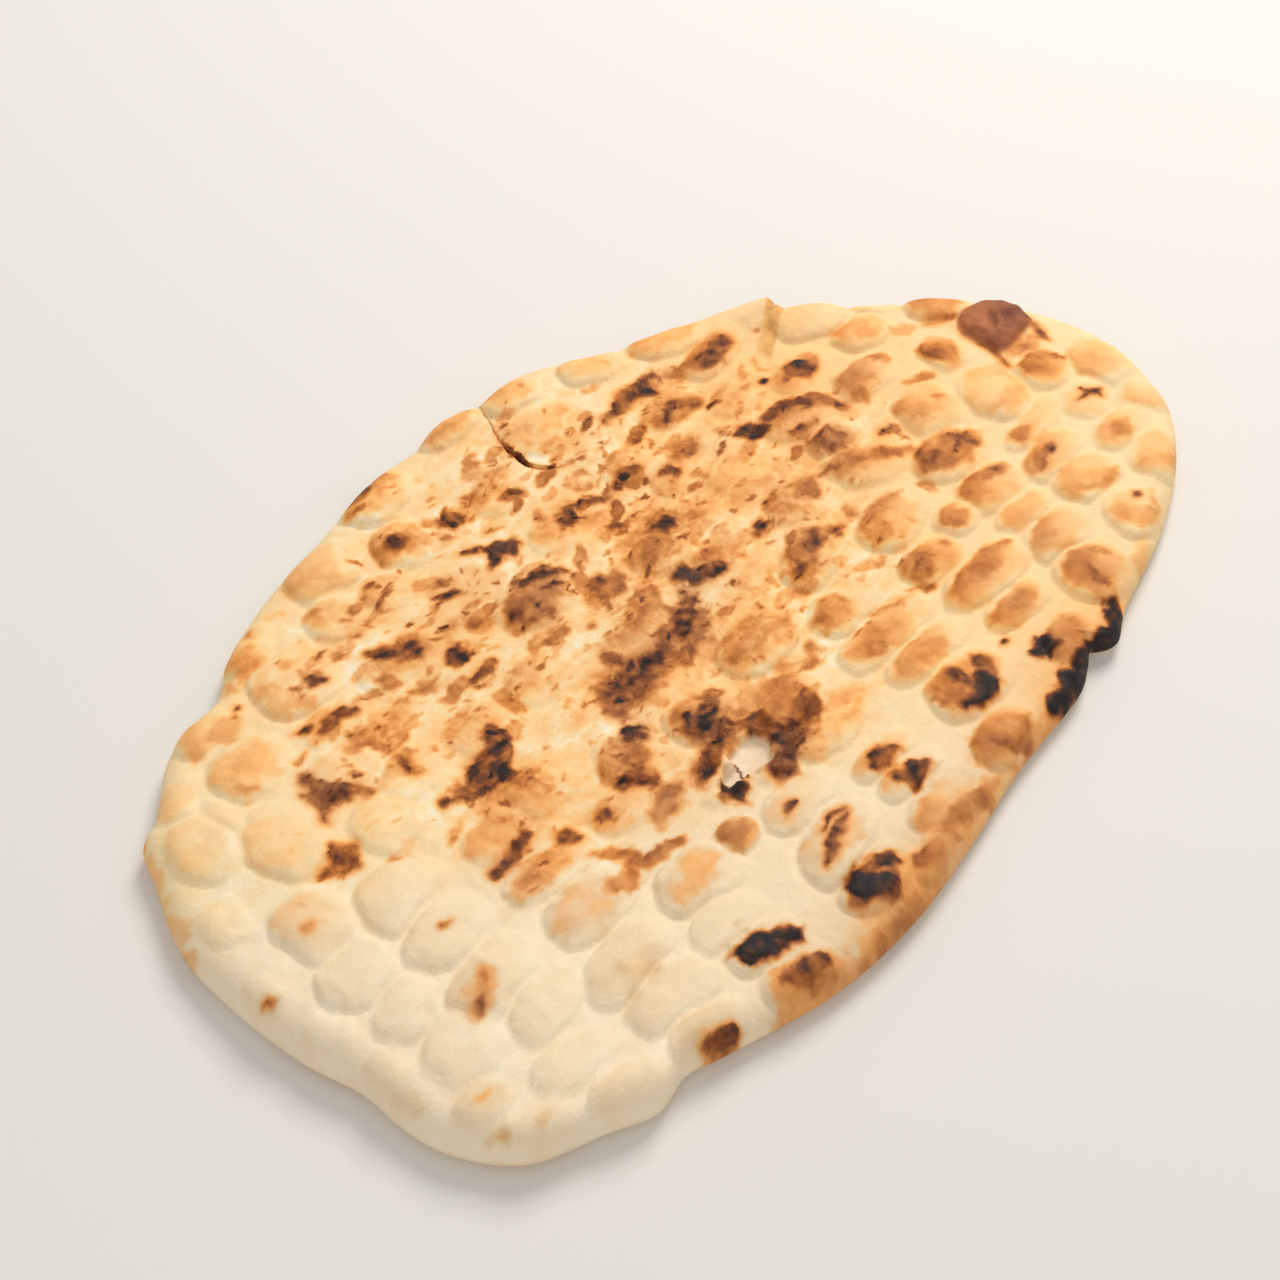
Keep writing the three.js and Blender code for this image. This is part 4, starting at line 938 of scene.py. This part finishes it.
class Nodes:
    """A node tree, built by short calls."""

    def __init__(self, name):
        self.material = bpy.data.materials.new(name)
        self.material.use_nodes = True
        self.tree = self.material.node_tree
        self.tree.nodes.clear()

    def add(self, kind, inputs=(), **settings):
        """A new node, with its settings, and with its inputs fed."""
        node = self.tree.nodes.new("ShaderNode" + kind)
        for key, value in settings.items():
            setattr(node, key, value)
        for key, value in dict(inputs).items():
            self.feed(node.inputs[key], value)
        return node

    def feed(self, socket, value):
        """Give an input a plain value, another node's output, or another node's first output."""
        if isinstance(value, bpy.types.Node):
            value = value.outputs[0]
        if isinstance(value, bpy.types.NodeSocket):
            self.tree.links.new(value, socket)
        else:
            socket.default_value = value

    def math(self, operation, a, b, c=0.0, clamp=False):
        """One node of arithmetic."""
        return self.add("Math", {0: a, 1: b, 2: c}, operation=operation, use_clamp=clamp)

    def minus(self, value, less):
        """`value` minus `less`."""
        return self.math("SUBTRACT", value, less)

    def times(self, value, factor, plus=None, clamp=False):
        """`value` times `factor`, with `plus` added to it."""
        if plus is None:
            return self.math("MULTIPLY", value, factor, clamp=clamp)
        return self.math("MULTIPLY_ADD", value, factor, plus, clamp)

    def attribute(self, name):
        """What the mesh says about each point under this name."""
        return self.add("Attribute", attribute_name=name).outputs["Fac"]

    def noise(self, scale, detail=3.0, roughness=0.55, stretch=(1, 1, 1)):
        """Noise from 0 to 1 that stays in place on the object."""
        place = self.add("Mapping", {"Vector": self.add("TexCoord").outputs["Object"], "Scale": stretch})
        inputs = {"Vector": place, "Scale": scale, "Detail": detail, "Roughness": roughness}
        return self.add("TexNoise", inputs).outputs["Fac"]

    def cells(self, place, scale, **settings):
        """A pattern of irregular cells."""
        return self.add("TexVoronoi", {"Vector": place, "Scale": scale}, **settings)

    def wrinkled(self):
        """Places on the object, shifted about by noise."""
        place = self.add("TexCoord").outputs["Object"]
        for scale, shift in ((75, 0.011), (330, 0.0032)):
            noise = self.add("TexNoise", {"Vector": place, "Scale": scale, "Detail": 1.0}).outputs["Color"]
            away = self.add("VectorMath", {0: noise, 1: (0.5, 0.5, 0.5)}, operation="SUBTRACT")
            away = self.add("VectorMath", {0: away, "Scale": shift}, operation="SCALE")
            place = self.add("VectorMath", {0: place, 1: away}, operation="ADD")
        return place

    def blend(self, share, a, b):
        """Colour `a` where `share` is 0, and `b` where it is 1."""
        node = self.add("Mix", data_type="RGBA", blend_type="MIX")
        for key, value in ((0, share), (6, a), (7, b)):
            self.feed(node.inputs[key], value)
        return node.outputs[2]

    def ramp(self, value, stops):
        """The colour for a value from 0 to 1, by stops of a place and a colour."""
        node = self.add("ValToRGB", {"Fac": value})
        elements = node.color_ramp.elements  # it starts with one at 0 and one at 1
        elements[0].color, elements[1].color = stops[0][1], stops[-1][1]
        for place, colour in stops[1:-1]:
            elements.new(place).color = colour
        return node.outputs[0]


    def surface(self, inputs):
        """The finished material, with one shader."""
        shader = self.add("BsdfPrincipled", inputs)
        self.tree.links.new(shader.outputs[0], self.add("OutputMaterial").inputs["Surface"])
        return self.material


def crust_material():
    """The baked crust. Fine patterns shift the heat of each point before it picks the colour."""
    n = Nodes("crust")
    heat, mottle, smooth = (n.attribute(name) for name in ("baked", "mottle", "smooth"))

    def signed(*settings):
        """Noise from -0.5 to 0.5."""
        return n.minus(n.noise(*settings), 0.5)

    # A wrinkled mosaic: patches of their own tone, with pale veins between, and small spots.
    wrinkled = n.wrinkled()
    drawn_out = n.add("Mapping", {"Vector": wrinkled, "Scale": (0.55, 1, 1)})
    between = n.cells(drawn_out, PATCH_SCALE, feature="DISTANCE_TO_EDGE").outputs[0]
    patch = n.cells(drawn_out, PATCH_SCALE).outputs["Color"]
    vein = n.minus(1.0, n.times(between, 6.5, clamp=True))
    vein = n.times(vein, n.times(n.noise(45, 1), 4.0, -1.6, clamp=True))
    mosaic = n.times(n.minus(patch, 0.5), 0.18, n.times(vein, -0.10))
    speck = n.cells(drawn_out, SPECK_SCALE)
    radius = n.times(speck.outputs["Color"], 0.66, -0.16)
    spot = n.times(n.minus(radius, speck.outputs["Distance"]), 5.0, clamp=True)
    mosaic = n.times(spot, 0.26, mosaic)
    turning = n.times(n.times(heat, n.minus(1.0, heat)), 4.0)  # 1 where the crust is half baked
    # Charred crust is even, and other crust is blotchy and frayed.
    charred = n.times(n.minus(heat, 0.92), 12.0, clamp=True)
    uneven = n.times(charred, -0.8, 1.0)
    shifted = n.times(mosaic, mottle, heat)
    blotch = n.times(n.times(mottle, 0.08, 0.13), uneven)
    shifted = n.times(signed(160, 4, 0.6, (0.6, 1, 1)), blotch, shifted)
    fray = n.times(mottle, 0.12, 0.09)
    fray = n.times(n.times(turning, fray, 0.04), uneven)
    shifted = n.times(signed(430, 4, 0.65, (1, 0.55, 1)), fray, shifted)
    # Burnt crust is a mass of tiny blisters, paler on their tops and browner between them: a painted
    # highlight and painted shade. In the mottled middle the same cells shift the tone.
    burnt = n.times(n.minus(heat, 0.6), 5.0, clamp=True)
    burnt = n.times(burnt, n.minus(1.0, smooth))
    burnt = n.times(burnt, uneven)
    bubbles = n.cells(wrinkled, BUBBLE_SCALE).outputs["Distance"]
    bubble_highlight_and_tone = n.times(turning, n.times(mottle, 0.16), n.times(burnt, 0.26))
    shifted = n.times(n.minus(bubbles, 0.42), bubble_highlight_and_tone, shifted, clamp=True)
    warm, dull = ([(place, linear(colours[k])) for place, *colours in CRUST_COLOURS] for k in (0, 1))
    colour = n.blend(n.attribute("dull"), n.ramp(shifted, warm), n.ramp(shifted, dull))
    # The crumb in the burst blister, the seared skin of the big one, and the torn faces.
    crumb = n.blend(n.noise(160, 4), linear((226, 194, 156)), linear((253, 240, 216)))
    colour = n.blend(n.attribute("crumb"), colour, crumb)
    # The seared skin's lighter patches are partly its own reddish tone and partly a painted highlight.
    seared_tone_and_highlight = n.times(n.noise(60, 4), 2.6, -0.8, clamp=True)
    seared = n.blend(seared_tone_and_highlight, linear((206, 124, 80)), linear((112, 56, 44)))
    colour = n.blend(n.times(smooth, 0.62), colour, seared)
    torn = n.blend(n.noise(260, 3), linear((190, 116, 52)), linear((255, 206, 126)))
    colour = n.blend(n.attribute("torn"), colour, torn)
    height = n.times(bubbles, n.times(burnt, -1.5), n.noise(700, 4, 0.65))
    bump = n.add("Bump", {"Height": height, "Strength": 0.45, "Distance": 0.0007})
    rough = n.times(mottle, 0.08, 0.62)
    return n.surface({"Base Color": colour, "Roughness": rough, "Normal": bump, "Specular IOR Level": 0.25})


# ---- Scene ---------------------------------------------------------------------------------------

FLOOR_REACH = 3000


def plain_material(name, colour, roughness):
    """One plain colour."""
    return Nodes(name).surface({"Base Color": (*colour, 1), "Roughness": roughness})


def set_up(name, data, place, aim):
    """A lamp or a camera at `place` that points at `aim`."""
    made = bpy.data.objects.new(name, data)
    made.location = place
    made.rotation_euler = (Vector(aim) - Vector(place)).to_track_quat("-Z", "Y").to_euler()
    bpy.context.scene.collection.objects.link(made)
    return made


def area_light(name, place, size, power, colour):
    """A round lamp that points at the middle of the table."""
    light = bpy.data.lights.new(name, "AREA")
    light.shape, light.size, light.energy, light.color = "DISK", size, power, colour
    set_up(name, light, place, (0, 0, 0))


def make_stage():
    """The table, the light from all round, and two lamps."""
    corners = [(x * FLOOR_REACH, y * FLOOR_REACH, 0) for x, y in ((-1, -1), (1, -1), (1, 1), (-1, 1))]
    floor = mesh_object("floor", corners, [(0, 1, 2, 3)])
    floor.data.materials.append(plain_material("floor", (0.80, 0.79, 0.77), 0.9))
    world = bpy.data.worlds.new("studio")
    world.use_nodes = True
    background = world.node_tree.nodes["Background"]
    background.inputs["Color"].default_value = (1.0, 0.965, 0.92, 1)
    background.inputs["Strength"].default_value = 0.50
    bpy.context.scene.world = world
    area_light("key", (1.05, 0.38, 1.2), 0.8, 18.2, (1.0, 0.95, 0.87))
    area_light("fill", (-0.9, -0.7, 1.1), 1.2, 3.4, (1.0, 0.97, 0.93))
    bpy.context.scene.view_settings.view_transform = "Standard"


def make_camera():
    """Above the bread's thick end, as in the photograph: 800 mm away, 52 degrees above the table."""
    camera = bpy.data.cameras.new("camera")
    camera.lens, camera.sensor_width = 65.25, 36
    place, aim = Vector((-380.0, -318.7, 630.4)) * MM, Vector((-14.55, 11.46, 0)) * MM
    bpy.context.scene.camera = set_up("camera", camera, place, aim)


make_camera()
make_stage()
bread = make_bread()
bread.data.materials.clear()
bread.data.materials.append(crust_material())
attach(bread, "root")
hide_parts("bread")
